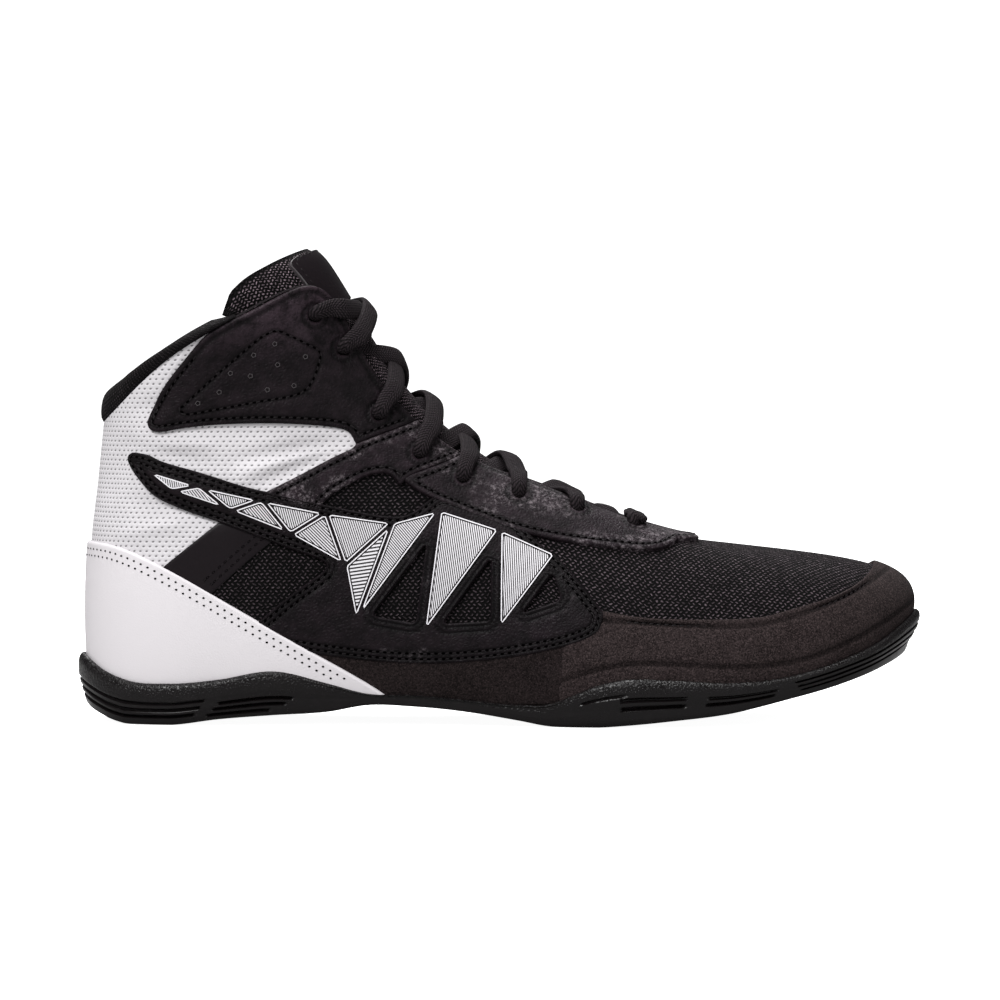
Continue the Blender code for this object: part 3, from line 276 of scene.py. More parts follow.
# The lattice on the side panel: its nodes along the upper and the lower rail, from the heel to the ball.
LATTICE_UPPER = ((0.0870, 0.5354), (0.1505, 0.5003), (0.2228, 0.4712), (0.2972, 0.4440),
    (0.3753, 0.4231), (0.4300, 0.4478), (0.5000, 0.4064), (0.5652, 0.3550))
LATTICE_LOWER = ((0.1177, 0.4898), (0.1856, 0.4484), (0.2554, 0.3984), (0.3195, 0.3339),
    (0.3324, 0.2175), (0.4116, 0.1930), (0.5000, 0.2022), (0.5835, 0.2526))

# Folds pressed into the wall: a soft trough where deep is below 0 and a ridge where it is above.
# Ends are placed as the outlines are, wide and deep are shares of HEIGHT.
Fold = namedtuple("Fold", "x z x_end z_end wide deep side")
FOLDS = [Fold(*row) for row in (
    (0.319, 0.594, 0.193, 0.557, 0.017, -0.0128, OUTER),
    (0.307, 0.571, 0.209, 0.500, 0.017, -0.0112, OUTER),
    (0.311, 0.581, 0.202, 0.529, 0.013, 0.0075, OUTER),
    (0.267, 0.613, 0.139, 0.605, 0.018, -0.0067, OUTER),
    (0.188, 0.596, 0.092, 0.579, 0.018, 0.0067, OUTER),
    (0.162, 0.550, 0.065, 0.583, 0.020, -0.0083, OUTER),
    (0.065, 0.616, 0.032, 0.458, 0.028, -0.0120, OUTER),
    (0.186, 0.430, 0.068, 0.470, 0.022, -0.0075, OUTER),
    (0.139, 0.429, 0.055, 0.397, 0.018, 0.0067, OUTER),
    (0.116, 0.679, 0.067, 0.654, 0.022, -0.0075, OUTER),
    (0.319, 0.594, 0.193, 0.557, 0.017, -0.0120, INNER),
    (0.307, 0.571, 0.209, 0.500, 0.017, -0.0105, INNER),
    (0.162, 0.550, 0.065, 0.583, 0.020, -0.0090, INNER),
    (0.065, 0.616, 0.032, 0.458, 0.028, -0.0120, INNER),
)]

# The sole's side seen in flutes: start and end are shares of LENGTH along the foot, low and high are
# shares of the side's height, lean shifts the ends along the shoe from the bottom to the top, as a
# share of LENGTH, and deep is in metres.
Flute = namedtuple("Flute", "start end low high lean deep")
FLUTES = [Flute(*row) for row in (
    (0.008, 0.158, 0.47, 0.54, 0.020, 0.0011),
    (0.012, 0.156, 0.30, 0.38, 0.020, 0.0014),
    (0.022, 0.152, 0.14, 0.23, 0.020, 0.0014),
    (0.172, 0.262, 0.36, 0.43, 0.016, 0.0012),
    (0.168, 0.256, 0.22, 0.29, 0.016, 0.0013),
    (0.163, 0.240, 0.08, 0.15, 0.016, 0.0012),
    (0.585, 0.640, 0.62, 0.69, 0.060, 0.0008),
    (0.640, 0.716, 0.50, 0.60, 0.004, 0.0015),
    (0.640, 0.716, 0.30, 0.40, 0.004, 0.0015),
    (0.738, 0.818, 0.50, 0.60, 0.008, 0.0015),
    (0.738, 0.818, 0.30, 0.40, 0.008, 0.0015),
    (0.836, 0.982, 0.66, 0.74, 0.012, 0.0015),
    (0.842, 0.986, 0.46, 0.54, 0.012, 0.0016),
    (0.848, 0.988, 0.26, 0.34, 0.012, 0.0015),
)]

# Each crossing of the lace: how far its middle is pushed along the shoe and out of the tongue, and how
# far the lace rolls there, in degrees.
Crossing = namedtuple("Crossing", "along proud roll")
CROSSINGS = [Crossing(*row) for row in (
    (0.0006, 0.0004, 8), (-0.0008, 0.0000, -10), (0.0005, 0.0005, 12),
    (-0.0004, 0.0002, -6), (0.0009, 0.0006, 10), (-0.0007, 0.0003, -14),
    (0.0004, 0.0008, 9),
)]


def lit(red, green, blue):
    """A colour's linear values from its screen values, 0 to 255."""
    shown = [value / 255 for value in (red, green, blue)]
    return tuple(round(((v + 0.055) / 1.055) ** 2.4 if v > 10 / 255 else v / 12.92, 5) for v in shown)


def unit(vectors):
    """Vectors brought to a length of 1."""
    return vectors / np.linalg.norm(vectors, axis=-1, keepdims=True)


def run_along(points):
    """The length of a line of points up to each of them."""
    return np.append(0, np.cumsum(np.linalg.norm(np.diff(points, axis=0), axis=1)))


def loop_spline(knots, values):
    """A smooth closed curve through values at knots, which run from 0 up to the loop's whole length, 1."""
    count = len(values)
    steps = np.diff(np.append(knots, 1.0))
    system = np.zeros((count, count))
    slopes = (np.roll(values, -1, axis=0) - values) / steps[:, None]
    for i in range(count):
        before = steps[i - 1]
        after = steps[i]
        system[i, i - 1] += before
        system[i, i] += 2 * (before + after)
        system[i, (i + 1) % count] += after
    bends = np.linalg.solve(system, 6 * (slopes - np.roll(slopes, 1, axis=0)))

    def at(places):
        places = np.asarray(places, float) % 1.0
        index = np.clip(np.searchsorted(knots, places, side="right") - 1, 0, count - 1)
        nxt = (index + 1) % count
        width = steps[index][..., None]
        right = places[..., None] - knots[index][..., None]
        left = width - right
        return (
            (bends[index] * left**3 + bends[nxt] * right**3) / (6 * width)
            + (values[index] / width - bends[index] * width / 6) * left
            + (values[nxt] / width - bends[nxt] * width / 6) * right
        )

    return at


def soft_line(xs, ys):
    """A smooth curve y(x) through a table, level past its ends."""
    xs = np.asarray(xs, float)
    ys = np.asarray(ys, float)
    slopes = np.gradient(ys, xs)

    def at(x):
        x = np.clip(np.asarray(x, float), xs[0], xs[-1])
        i = np.clip(np.searchsorted(xs, x, side="right") - 1, 0, len(xs) - 2)
        width = xs[i + 1] - xs[i]
        u = (x - xs[i]) / width
        return (
            ys[i] * (1 + 2 * u) * (1 - u) ** 2
            + slopes[i] * width * u * (1 - u) ** 2
            + ys[i + 1] * u * u * (3 - 2 * u)
            + slopes[i + 1] * width * u * u * (u - 1)
        )

    return at


def place(x_share):
    """x in metres of a share of the length, with the origin under the middle of the shoe."""
    return (x_share - 0.5) * LENGTH


def share(x):
    return x / LENGTH + 0.5


SOLE_X = [row.x for row in SOLE_LINES]
SOLE_CURVES = {
    field: soft_line(SOLE_X, [getattr(row, field) for row in SOLE_LINES])
    for field in ("bottom", "floor", "rim", "bulk")
}


def sole_height(field, x):
    """Height of one of the sole's lines at x metres."""
    return np.maximum(SOLE_CURVES[field](share(x)), 0.0) * BUMPER_HEIGHT


def rib_points(rib, side):
    """The rib's foot, shoulder and edge as points, and how far it swells."""
    foot_y, shoulder_y, swell = (
        (rib.out_foot, rib.out_shoulder, rib.out_swell)
        if side == OUTER
        else (rib.in_foot, rib.in_shoulder, rib.in_swell)
    )
    foot_x = place(rib.foot_x)
    foot = (foot_x, side * foot_y * BALL_WIDTH, float(sole_height("floor", foot_x)) + GAP)
    shoulder = (place(rib.shoulder_x), side * shoulder_y * BALL_WIDTH, rib.shoulder_z * HEIGHT)
    edge = (place(rib.edge_x), side * rib.edge_y * BALL_WIDTH, rib.edge_z * HEIGHT)
    return foot, shoulder, edge, swell * BALL_WIDTH, rib.wide_z * HEIGHT


def ribs_round():
    """Every rib in order round the shoe: toe, outer side, heel, inner side."""
    outer = [rib_points(rib, OUTER) for rib in RIBS]
    inner = [rib_points(rib, INNER) for rib in RIBS[-2:0:-1]]
    return outer + inner


def rib_knots(feet, edges):
    """Places of the ribs round the loop from 0 to 1, alike on both sides of the shoe."""
    spans = [np.linalg.norm(np.roll(p, -1, axis=0) - p, axis=1) for p in (feet, edges)]
    steps = spans[0] + spans[1] + RIB_SPREAD
    steps = steps + steps[::-1]
    return np.concatenate([[0.0], np.cumsum(steps)[:-1]]) / steps.sum()


ROUND = ribs_round()
FEET = np.array([r[0] for r in ROUND])
EDGES = np.array([r[2] for r in ROUND])
KNOTS = rib_knots(FEET, EDGES)
RIB_AT = {rib.name: KNOTS[i] for i, rib in enumerate(RIBS)}
FOOT_LOOP = loop_spline(KNOTS, FEET)
SHOULDER_LOOP = loop_spline(KNOTS, np.array([r[1] for r in ROUND]))
EDGE_LOOP = loop_spline(KNOTS, EDGES)
SWELL_LOOP = loop_spline(KNOTS, np.array([[r[3], r[4]] for r in ROUND]))


def outward(around):
    """Level direction that points out of the shoe at places round it."""
    step = FOOT_LOOP(np.asarray(around) + TURN_STEP) - FOOT_LOOP(np.asarray(around) - TURN_STEP)
    normal = np.stack([step[..., 1], -step[..., 0], np.zeros_like(step[..., 0])], -1)
    return -unit(normal)


def skin(around, up):
    """Points of the upper's outer face: around runs 0 to 1 round the shoe, up 0 to 1 along a rib."""
    around, up = np.broadcast_arrays(np.asarray(around, float), np.asarray(up, float))
    foot = FOOT_LOOP(around)
    foot[..., 2] = sole_height("floor", foot[..., 0]) + GAP
    swell = SWELL_LOOP(around)
    wide = foot + outward(around) * swell[..., :1]
    wide[..., 2] = swell[..., 1]
    u = up[..., None]
    return (
        foot * (1 - u) ** 3
        + 3 * wide * u * (1 - u) ** 2
        + 3 * SHOULDER_LOOP(around) * u**2 * (1 - u)
        + EDGE_LOOP(around) * u**3
    )


def skin_normal(around, up):
    """Unit normal of the upper's outer face, pointing out."""
    h = TURN_STEP * 5
    low = np.clip(np.asarray(up, float) - h, 0, 1)
    high = np.clip(np.asarray(up, float) + h, 0, 1)
    along = skin(np.asarray(around) + h, up) - skin(np.asarray(around) - h, up)
    rise = skin(around, high) - skin(around, low)
    return unit(np.cross(rise, along))


def collar_rise(around):
    """Height of the padded roll above the collar's edge."""
    names = [name for name, _ in COLLAR_RISE]
    curve = soft_line([RIB_AT[name] for name in names], [rise for _, rise in COLLAR_RISE])
    return curve(np.minimum(around, 1 - around))


def collar_start():
    """The place round the outer side where the padded roll meets the tongue."""
    around = np.linspace(RIB_AT["top_corner"], RIB_AT["heel"], DENSE)
    xs = EDGE_LOOP(around)[:, 0]
    return float(np.interp(-place(COLLAR_FRONT), -xs, around))


TONGUE_STATIONS = np.arange(len(TONGUE_ROWS), dtype=float)
TONGUE_CURVES = {
    field: soft_line(TONGUE_STATIONS, [getattr(row, field) for row in TONGUE_ROWS])
    for field in TongueRow._fields
}


def tongue_face(station, turn):
    """Points of the tongue's outer face: turn 0 is its crown, a quarter turn its edge."""
    crown_x = place(TONGUE_CURVES["crown_x"](station))
    crown_z = TONGUE_CURVES["crown_z"](station) * HEIGHT
    side_x = place(TONGUE_CURVES["side_x"](station))
    side_z = TONGUE_CURVES["side_z"](station) * HEIGHT
    side_y = TONGUE_CURVES["side_y"](station) * BALL_WIDTH
    across = np.sin(turn)
    near = np.cos(turn)
    return np.stack(
        [
            side_x + (crown_x - side_x) * near,
            side_y * across,
            side_z + (crown_z - side_z) * np.maximum(near, 0) ** TONGUE_CURVES["sweep"](station),
        ],
        -1,
    )


def grid_normals(points):
    """Normals of a grid of points, from its own rows and columns."""
    along = np.gradient(points, axis=0)
    across = np.gradient(points, axis=1)
    return unit(np.cross(across, along))


def seated(points):
    """Moves points in until they clear the upper's wall and the collar's lining."""
    around, up = np.meshgrid(np.linspace(0, 1, DENSE, endpoint=False), np.linspace(0, 1, DENSE // 6))
    faces = skin(around, up).reshape(-1, 3)
    normals = skin_normal(around, up).reshape(-1, 3)
    wall = WALL + TONGUE_CLEARANCE
    result = points.reshape(-1, 3).copy()
    for i, point in enumerate(result):
        away = point - faces
        nearest = int(np.argmin((away**2).sum(1)))
        depth = float(away[nearest] @ normals[nearest])
        slip = np.linalg.norm(away[nearest] - depth * normals[nearest])
        if slip < WALL * 2 and depth > -wall:
            result[i] = point - normals[nearest] * (depth + wall)
    return result.reshape(points.shape)


def eyelet_places():
    """Where the eyelets lie: for each, its place round the outer side and up the rib."""
    around = np.linspace(RIB_AT["toe_side"], RIB_AT["top_corner"], DENSE)
    steps = np.linspace(0.5, 1, DENSE // 2)
    ups = []
    for a in around:
        rib = skin(np.full(len(steps), a), steps)
        left = np.linalg.norm(np.diff(rib, axis=0), axis=1)[::-1].cumsum()
        ups.append(steps[::-1][1:][np.searchsorted(left, EYELET_INSET)])
    ups = np.array(ups)
    xs = skin(around, ups)[:, 0]
    return [
        (float(np.interp(-place(x), -xs, around)), float(np.interp(-place(x), -xs, ups))) for x in EYELETS
    ]


def crown_near(point):
    """The point of the tongue's middle line nearest to a point, and the way out of the tongue there."""
    stations = np.linspace(0, len(TONGUE_ROWS) - 1, DENSE)
    line = tongue_face(stations, 0 * stations)
    nearest = int(np.argmin(((line - point)[:, ::2] ** 2).sum(1)))
    along = line[min(nearest + 2, DENSE - 1)] - line[max(nearest - 2, 0)]
    return line[nearest], np.cross((0, 1, 0), along / np.linalg.norm(along))


def relief(points):
    """Height of the folds at points of the wall."""
    x, y, z = np.moveaxis(points, -1, 0)
    total = np.zeros_like(x)
    for fold in FOLDS:
        start = np.array([place(fold.x), fold.z * HEIGHT])
        run = np.array([place(fold.x_end), fold.z_end * HEIGHT]) - start
        part = np.clip(((x - start[0]) * run[0] + (z - start[1]) * run[1]) / (run @ run), 0, 1)
        away = np.hypot(x - start[0] - part * run[0], z - start[1] - part * run[1])
        ends = 0.3 + 0.7 * np.sin(math.pi * part)
        near = np.clip(0.5 + fold.side * y / 0.006, 0, 1)
        total = total + fold.deep * HEIGHT * np.exp(-((away / (fold.wide * HEIGHT)) ** 1.6)) * ends * near
    return total


def surface(around, up, lift=0.0):
    """The wall's outer face with its folds, moved out by lift."""
    point = skin(around, up)
    return point + skin_normal(around, up) * (lift + relief(point))[..., None]


def side_of(around, side):
    """The same place on the outer or the inner side."""
    return around if side == OUTER else 1 - around


def metres(line):
    """Side-view points in metres from shares."""
    line = np.asarray(line, float)
    return np.stack([place(line[:, 0]), line[:, 1] * HEIGHT], -1)


def rounded(line, closed=True, cuts=3):
    """The line with its corners cut soft; a point given twice keeps a sharper corner."""
    line = np.asarray(line, float)
    for _ in range(cuts):
        nxt = np.roll(line, -1, axis=0)
        cut = np.stack([line * 0.75 + nxt * 0.25, line * 0.25 + nxt * 0.75], 1).reshape(-1, 2)
        line = cut if closed else np.vstack([line[:1], cut[:-2], line[-1:]])
    return line


def steps_along(around, up):
    """How the wall's point moves per step of around and of up."""
    before = skin(around - TURN_STEP, up)
    across = (skin(around + TURN_STEP, up) - before) / (2 * TURN_STEP)
    high = np.clip(up + TURN_STEP, 0, 1)
    low = np.clip(up - TURN_STEP, 0, 1)
    return across, (skin(around, high) - skin(around, low)) / (high - low)[:, None]


def wall_steps(across, rise, off, damping=0.0, least=0.0):
    """The steps of around and of up that move the wall's point by off."""
    aa = (across * across).sum(1) + damping
    uu = (rise * rise).sum(1) + damping
    au = (across * rise).sum(1)
    pa = (across * off).sum(1)
    pu = (rise * off).sum(1)
    scale = aa * uu - au * au + least
    return (pa * uu - pu * au) / scale, (pu * aa - pa * au) / scale


def wall_places(view):
    """Places on the outer side under side-view points in metres, held at the wall's edge past it."""
    around, up = np.meshgrid(np.linspace(0.003, 0.497, 180), np.linspace(0, 1, 64), indexing="ij")
    table = skin(around, up)[..., [0, 2]].reshape(-1, 2)
    nearest = [int(((table - point) ** 2).sum(1).argmin()) for point in view]
    around = around.ravel()[nearest]
    up = up.ravel()[nearest]
    for _ in range(PLACE_ROUNDS):
        off = view - skin(around, up)[:, [0, 2]]
        across, rise = (step[:, [0, 2]] for step in steps_along(around, up))
        step_round, step_up = wall_steps(across, rise, off, damping=DAMPING)
        around = np.clip(around + np.clip(step_round, -MOST_ROUND, MOST_ROUND), 0, 0.5)
        up = np.clip(up + np.clip(step_up, -MOST_UP, MOST_UP), 0, 1)
    return np.stack([around, up], -1)


def outline(line, closed=True):
    """Places on the outer side along a side-view outline of shares."""
    return wall_places(rounded(metres(line), closed))


def even(at, pitch, closed=True):
    """The line of places read again at even steps along the wall."""
    if closed:
        at = np.vstack([at, at[:1]])
    points = skin(at[:, 0], at[:, 1])
    run = run_along(points)
    stations = np.linspace(0, run[-1], max(3, round(run[-1] / pitch)) + 1)
    result = np.stack([np.interp(stations, run, at[:, k]) for k in (0, 1)], -1)
    return result[:-1] if closed else result


def nudged(at, moves):
    """Places moved along the wall by vectors in metres."""
    moved = at + np.stack(wall_steps(*steps_along(*at.T), moves, least=TINY), -1)
    moved[:, 1] = np.clip(moved[:, 1], 0, 1)
    return moved


def along_line(points, closed):
    """The way along a line at each of its points."""
    if closed:
        return np.roll(points, -1, axis=0) - np.roll(points, 1, axis=0)
    return np.gradient(points, axis=0)


def beside(at, inset, closed=True):
    """The line of places moved sideways along the wall."""
    along = along_line(skin(*at.T), closed)
    along /= np.linalg.norm(along, axis=1, keepdims=True) + TINY
    return nudged(at, np.cross(skin_normal(*at.T), along) * inset)


def within(points, loop):
    """Which points lie inside a closed loop, both in the plane."""
    x, y = points.T
    result = np.zeros(len(points), bool)
    for (x0, y0), (x1, y1) in zip(loop, np.roll(loop, -1, axis=0)):
        if y0 != y1:
            result ^= ((y0 > y) != (y1 > y)) & (x < x0 + (y - y0) * (x1 - x0) / (y1 - y0))
    return result


def inward(at):
    """1 or -1, the sign that moves a closed outline inward in beside."""
    trial = beside(at, 0.0005)
    return 1 if within(trial, at).mean() > 0.5 else -1


def reach_from(points, line):
    """Distance of each point from the nearest point of a line."""
    tree = kdtree.KDTree(len(line))
    for i, point in enumerate(line):
        tree.insert(point, i)
    tree.balance()
    return np.array([tree.find(point)[2] for point in points])


Filled = namedtuple("Filled", "at faces reach")


def field_places(at, step):
    """Staggered rows of places over an outline, and the metres per step of around and of up there."""
    across, rise = steps_along(*at.T)
    scale = np.array([np.linalg.norm(across, axis=1).mean(), np.linalg.norm(rise, axis=1).mean()])
    low, high = at.min(0) * scale, at.max(0) * scale
    rows = []
    for k, y in enumerate(np.arange(low[1], high[1], step * 0.87)):
        xs = np.arange(low[0] + (k % 2) * step / 2, high[0], step)
        rows.append(np.stack([xs, np.full_like(xs, y)], -1))
    return np.vstack(rows) / scale, scale


def fill(at, step=FIELD_STEP, insets=(*EDGE_ROWS, 0.0017), holes=(), lines=()):
    """Triangles over a closed outline of places, with rows along its edge and along the lines sewn in it."""
    at = even(at, EDGE_STEP)
    sign = inward(at)
    loops = [at, *holes]
    fine = np.vstack([skin(*even(loop, EDGE_STEP / 3).T) for loop in loops])
    points = [*loops]
    for inset in insets:
        for loop, way in zip(loops, [sign] + [-inward(hole) for hole in holes]):
            ring = beside(loop, way * inset)
            keep = within(ring, at) & (reach_from(skin(*ring.T), fine) > inset * 0.9)
            points.append(ring[keep])
    field, scale = field_places(at, step)
    keep = within(field, at)
    for hole in holes:
        keep &= ~within(field, hole)
    field = field[keep]
    last = insets[-1] if insets else 0
    field = field[reach_from(skin(*field.T), fine) > last + step * 0.45]
    for line in lines:
        middle = skin(*line.T)
        field = field[reach_from(skin(*field.T), middle) > SEWN_CLEAR]
        for offset in SEWN_ROWS:
            row = beside(line, offset, closed=False)
            points_of_row = skin(*row.T)
            far = reach_from(points_of_row, middle) > abs(offset) * 0.9
            far &= reach_from(points_of_row, fine) > last + 0.0004
            field = np.vstack([field, row[far & within(row, at)]])
    plane = np.vstack(points + [field]) * scale
    edges = []
    start = 0
    for loop in loops:
        edges += [(start + i, start + (i + 1) % len(loop)) for i in range(len(loop))]
        start += len(loop)
    verts, _, faces, _, _, _ = delaunay_2d_cdt([Vector(p) for p in plane], edges, [], 1, 1e-7)
    verts = np.array([tuple(v) for v in verts])
    faces = np.array([f for f in faces if len(f) == 3])
    middles = verts[faces].mean(1)
    keep = within(middles, at * scale)
    for hole in holes:
        keep &= ~within(middles, hole * scale)
    at = verts / scale
    return Filled(at, faces[keep], reach_from(skin(*at.T), fine))


Piece = namedtuple("Piece", "points faces cloth")


def joined(pieces):
    """Several pieces of mesh as one."""
    points, faces, cloth, start = [], [], [], 0
    for piece in pieces:
        points.append(piece.points)
        cloth.append(piece.cloth)
        faces += [tuple(int(i) + start for i in face) for face in piece.faces]
        start += len(piece.points)
    return Piece(np.vstack(points), faces, np.vstack(cloth))


def rim_of(faces):
    """The directed edges of triangles that only one face uses."""
    sides = np.vstack([faces[:, [0, 1]], faces[:, [1, 2]], faces[:, [2, 0]]])
    used = {tuple(e) for e in sides.tolist()}
    return [e for e in sides.tolist() if (e[1], e[0]) not in used]


def laid(filled, side, face, thick=None, grooves=(), seams=(), soft=0.0006, puff=0.0):
    """A filled outline as a panel whose face lies so high, with a rounded edge and a skirt to the wall.

    Each groove is its distance from the edge, its depth and its width, and each seam the points of its
    line, its depth and its width. soft is the width of the rounded edge and puff the padding under it.
    """
    thick = face if thick is None else thick
    around = side_of(filled.at[:, 0], side)
    up = filled.at[:, 1]
    near = np.clip(filled.reach / soft, 0, 1)
    height = face - thick * 0.55 * (1 - np.sqrt(1 - (1 - near) ** 2))
    height = height + puff * (1 - np.exp(-((filled.reach / PUFF_WIDE) ** 2)))
    flat = skin(around, up)
    pressed = np.full_like(around, CLOTH_FAR)
    valleys = [(np.abs(filled.reach - at), deep, wide) for at, deep, wide in grooves]
    valleys += [(reach_from(flat, line), deep, wide) for line, deep, wide in seams]
    for away, deep, wide in valleys:
        height = height - deep * np.exp(-((away / wide) ** 2))
        pressed = np.minimum(pressed, away)
    points = surface(around, up, height)
    faces = filled.faces
    out = skin_normal(around, up)
    a, b, c = (points[faces[:, k]] for k in range(3))
    if (np.cross(b - a, c - a) * out[faces[:, 0]]).sum() < 0:
        faces = faces[:, ::-1]
    rim = rim_of(faces)
    ends = sorted({i for edge in rim for i in edge})
    below = {i: len(points) + k for k, i in enumerate(ends)}
    cut = np.array([up[i] > 0.996 for i in ends])
    foot = np.where(cut, -WALL, -0.0002)
    low = surface(around[ends], up[ends], foot)
    cloth = np.column_stack([cloth_place(points), pressed])
    faces = [tuple(f) for f in faces.tolist()] + [(j, i, below[i], below[j]) for i, j in rim]
    return Piece(np.vstack([points, low]), faces, np.vstack([cloth, cloth[ends]]))


def cloth_place(points):
    """Cloth coordinates in metres of points on the wall: along the shoe, and down from its crown."""
    x, y, z = np.moveaxis(points, -1, 0)
    return np.stack([x, z + 0.25 * np.abs(y)], -1)


def finished(name, piece, slot, *kinds, replaces=(), smooth=40, slots=None):
    """A piece as a mesh object on the shoe, with its materials and the solids it replaces; slot is not used.
    """
    mesh = bpy.data.meshes.new(name)
    mesh.from_pydata(piece.points.tolist(), [], [tuple(f) for f in piece.faces])
    cloth = mesh.attributes.new("cloth", "FLOAT_VECTOR", "POINT")
    cloth.data.foreach_set("vector", np.ascontiguousarray(piece.cloth, np.float32).ravel())
    for kind in kinds:
        mesh.materials.append(material(kind))
    if slots is not None:
        mesh.polygons.foreach_set("material_index", np.asarray(slots, np.int32))
    mesh.shade_smooth()
    mesh.set_sharp_from_angle(angle=math.radians(smooth))
    mesh.validate()
    obj = add_object(name, mesh)
    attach(obj, "root")
    if replaces:
        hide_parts(*replaces)
    return obj


STITCH_RINGS = ((-1.0, 0.15), (-0.82, 0.75), (-0.4, 1.0), (0.4, 1.0), (0.82, 0.75), (1.0, 0.15))
STITCH_SIDES = 6
STITCH_SLANT = 0.12
HOLE_SIDES = 8
RING_SIDES = 20


def stitches(at, side, lift, sizes, closed=False):
    """A row of stitches, one at each place of a line."""
    around = side_of(at[:, 0], side)
    return stitch_row(surface(around, at[:, 1], lift), skin_normal(around, at[:, 1]), sizes, closed)


def stitch_row(middle, normal, sizes, closed=False):
    """Stitches at points with their normals."""
    along = unit(along_line(middle, closed))
    across = np.cross(normal, along)
    half = sizes.stitch_length / 2
    radius = sizes.stitch_width / 2
    rings = []
    for run, full in STITCH_RINGS:
        centre = middle + (along + across * STITCH_SLANT) * half * run - normal * (run * run * radius * 0.8)
        for k in range(STITCH_SIDES):
            turn = math.tau * k / STITCH_SIDES
            spoke = across * math.cos(turn) + normal * math.sin(turn) * 0.8
            rings.append(centre + spoke * radius * full)
    points = np.stack(rings, 1).reshape(-1, 3)
    count = len(STITCH_RINGS) * STITCH_SIDES
    stitch = grid_faces(len(STITCH_RINGS), STITCH_SIDES, around=True) + end_caps(count, STITCH_SIDES)
    faces = [tuple(i + s * count for i in face) for s in range(len(middle)) for face in stitch]
    return Piece(points, faces, np.zeros_like(points))


def holes_along(at, side, lift, radius, long=1.0, in_line=False):
    """Small dark holes at places: a shallow dish each, so many times longer along their row."""
    around = side_of(at[:, 0], side)
    middle = surface(around, at[:, 1], lift)
    normal = skin_normal(around, at[:, 1])
    along = unit(np.gradient(middle, axis=0) if in_line else np.cross(normal, (0, 0, 1.0)))
    across = np.cross(normal, along)
    rings = [middle - normal * radius * 0.4]
    for k in range(HOLE_SIDES):
        turn = math.tau * k / HOLE_SIDES
        rings.append(middle + (along * math.cos(turn) * long + across * math.sin(turn)) * radius)
    points = np.stack(rings, 1).reshape(-1, 3)
    starts = range(0, len(points), HOLE_SIDES + 1)
    faces = [(s, s + 1 + (k + 1) % HOLE_SIDES, s + 1 + k) for s in starts for k in range(HOLE_SIDES)]
    return Piece(points, faces, np.zeros_like(points))


def ribbon(at, side, lift, width, closed=False):
    """A thin line along places: print, or a painted highlight."""
    at = even(at, EDGE_STEP, closed)
    rows = []
    for shift, rise in ((-0.5, -0.00012), (-0.42, 0.0), (0.42, 0.0), (0.5, -0.00012)):
        moved = beside(at, shift * width, closed)
        rows.append(surface(side_of(moved[:, 0], side), moved[:, 1], lift + rise))
    count = len(at)
    faces = []
    for r in range(len(rows) - 1):
        for i in range(count if closed else count - 1):
            j = (i + 1) % count
            face = (r * count + i, (r + 1) * count + i, (r + 1) * count + j, r * count + j)
            faces.append(face if side == OUTER else face[::-1])
    points = np.vstack(rows)
    return Piece(points, faces, np.zeros_like(points))


def grid_faces(rows, count, around=False, flip=False):
    """Quads of a grid of rows by count."""
    faces = []
    for r in range(rows - 1):
        for i in range(count if around else count - 1):
            j = (i + 1) % count
            face = (r * count + i, r * count + j, (r + 1) * count + j, (r + 1) * count + i)
            faces.append(face[::-1] if flip else face)
    return faces


def rings_round(at, radius):
    """A ring of places round each place of the outer side."""
    loops = []
    for around, up in at:
        centre = np.array([[around, up]])
        point_normal = skin_normal(centre[:, 0], centre[:, 1])
        side = np.cross(point_normal, (0, 0, 1.0))
        side /= np.linalg.norm(side)
        other = np.cross(point_normal, side)
        turns = np.linspace(0, math.tau, RING_SIDES, endpoint=False)[:, None]
        spokes = (side * np.cos(turns) + other * np.sin(turns)) * radius
        loops.append(nudged(np.repeat(centre, RING_SIDES, axis=0), spokes))
    return loops


def inside_loops(at, loops):
    """The eyelet rings that lie within an outline."""
    return [loop for loop in loops if within(loop, at).all()]


def joint(tree, source, target):
    """Feeds a socket, or sets a plain value, into an input."""
    if isinstance(source, bpy.types.NodeSocket):
        tree.links.new(source, target)
    elif isinstance(source, tuple) and len(source) == 3 and target.type == "RGBA":
        target.default_value = (*source, 1)
    else:
        target.default_value = source


def calc(tree, operation, *values):
    """The result of a Math node on sockets or numbers."""
    node = tree.nodes.new("ShaderNodeMath")
    node.operation = operation
    for value, target in zip(values, node.inputs):
        joint(tree, value, target)
    return node.outputs[0]


def times(tree, first, second):
    return calc(tree, "MULTIPLY", first, second)


def plus(tree, first, second):
    return calc(tree, "ADD", first, second)


def minus(tree, first, second):
    return calc(tree, "SUBTRACT", first, second)


def over(tree, first, second):
    return calc(tree, "DIVIDE", first, second)


def centred(tree, value):
    """How far a value lies from the middle of its whole step, -0.5 to 0.5."""
    return minus(tree, calc(tree, "FRACT", value), 0.5)


def squared(tree, value):
    return times(tree, value, value)


def shade(colour, factor):
    """A colour made darker or brighter."""
    return tuple(c * factor for c in colour)


def ramped(tree, value, low, high, start=0.0, end=1.0):
    """value taken smoothly from start at low to end at high."""
    node = tree.nodes.new("ShaderNodeMapRange")
    node.interpolation_type = "SMOOTHSTEP"
    for number, target in zip((value, low, high, start, end), node.inputs):
        joint(tree, number, target)
    return node.outputs[0]


def blended(tree, share_of, first, second, way="MIX"):
    """A colour between two, by a share."""
    node = tree.nodes.new("ShaderNodeMix")
    node.data_type = "RGBA"
    node.blend_type = way
    joint(tree, share_of, node.inputs["Factor"])
    joint(tree, first, node.inputs[6])
    joint(tree, second, node.inputs[7])
    return node.outputs[2]


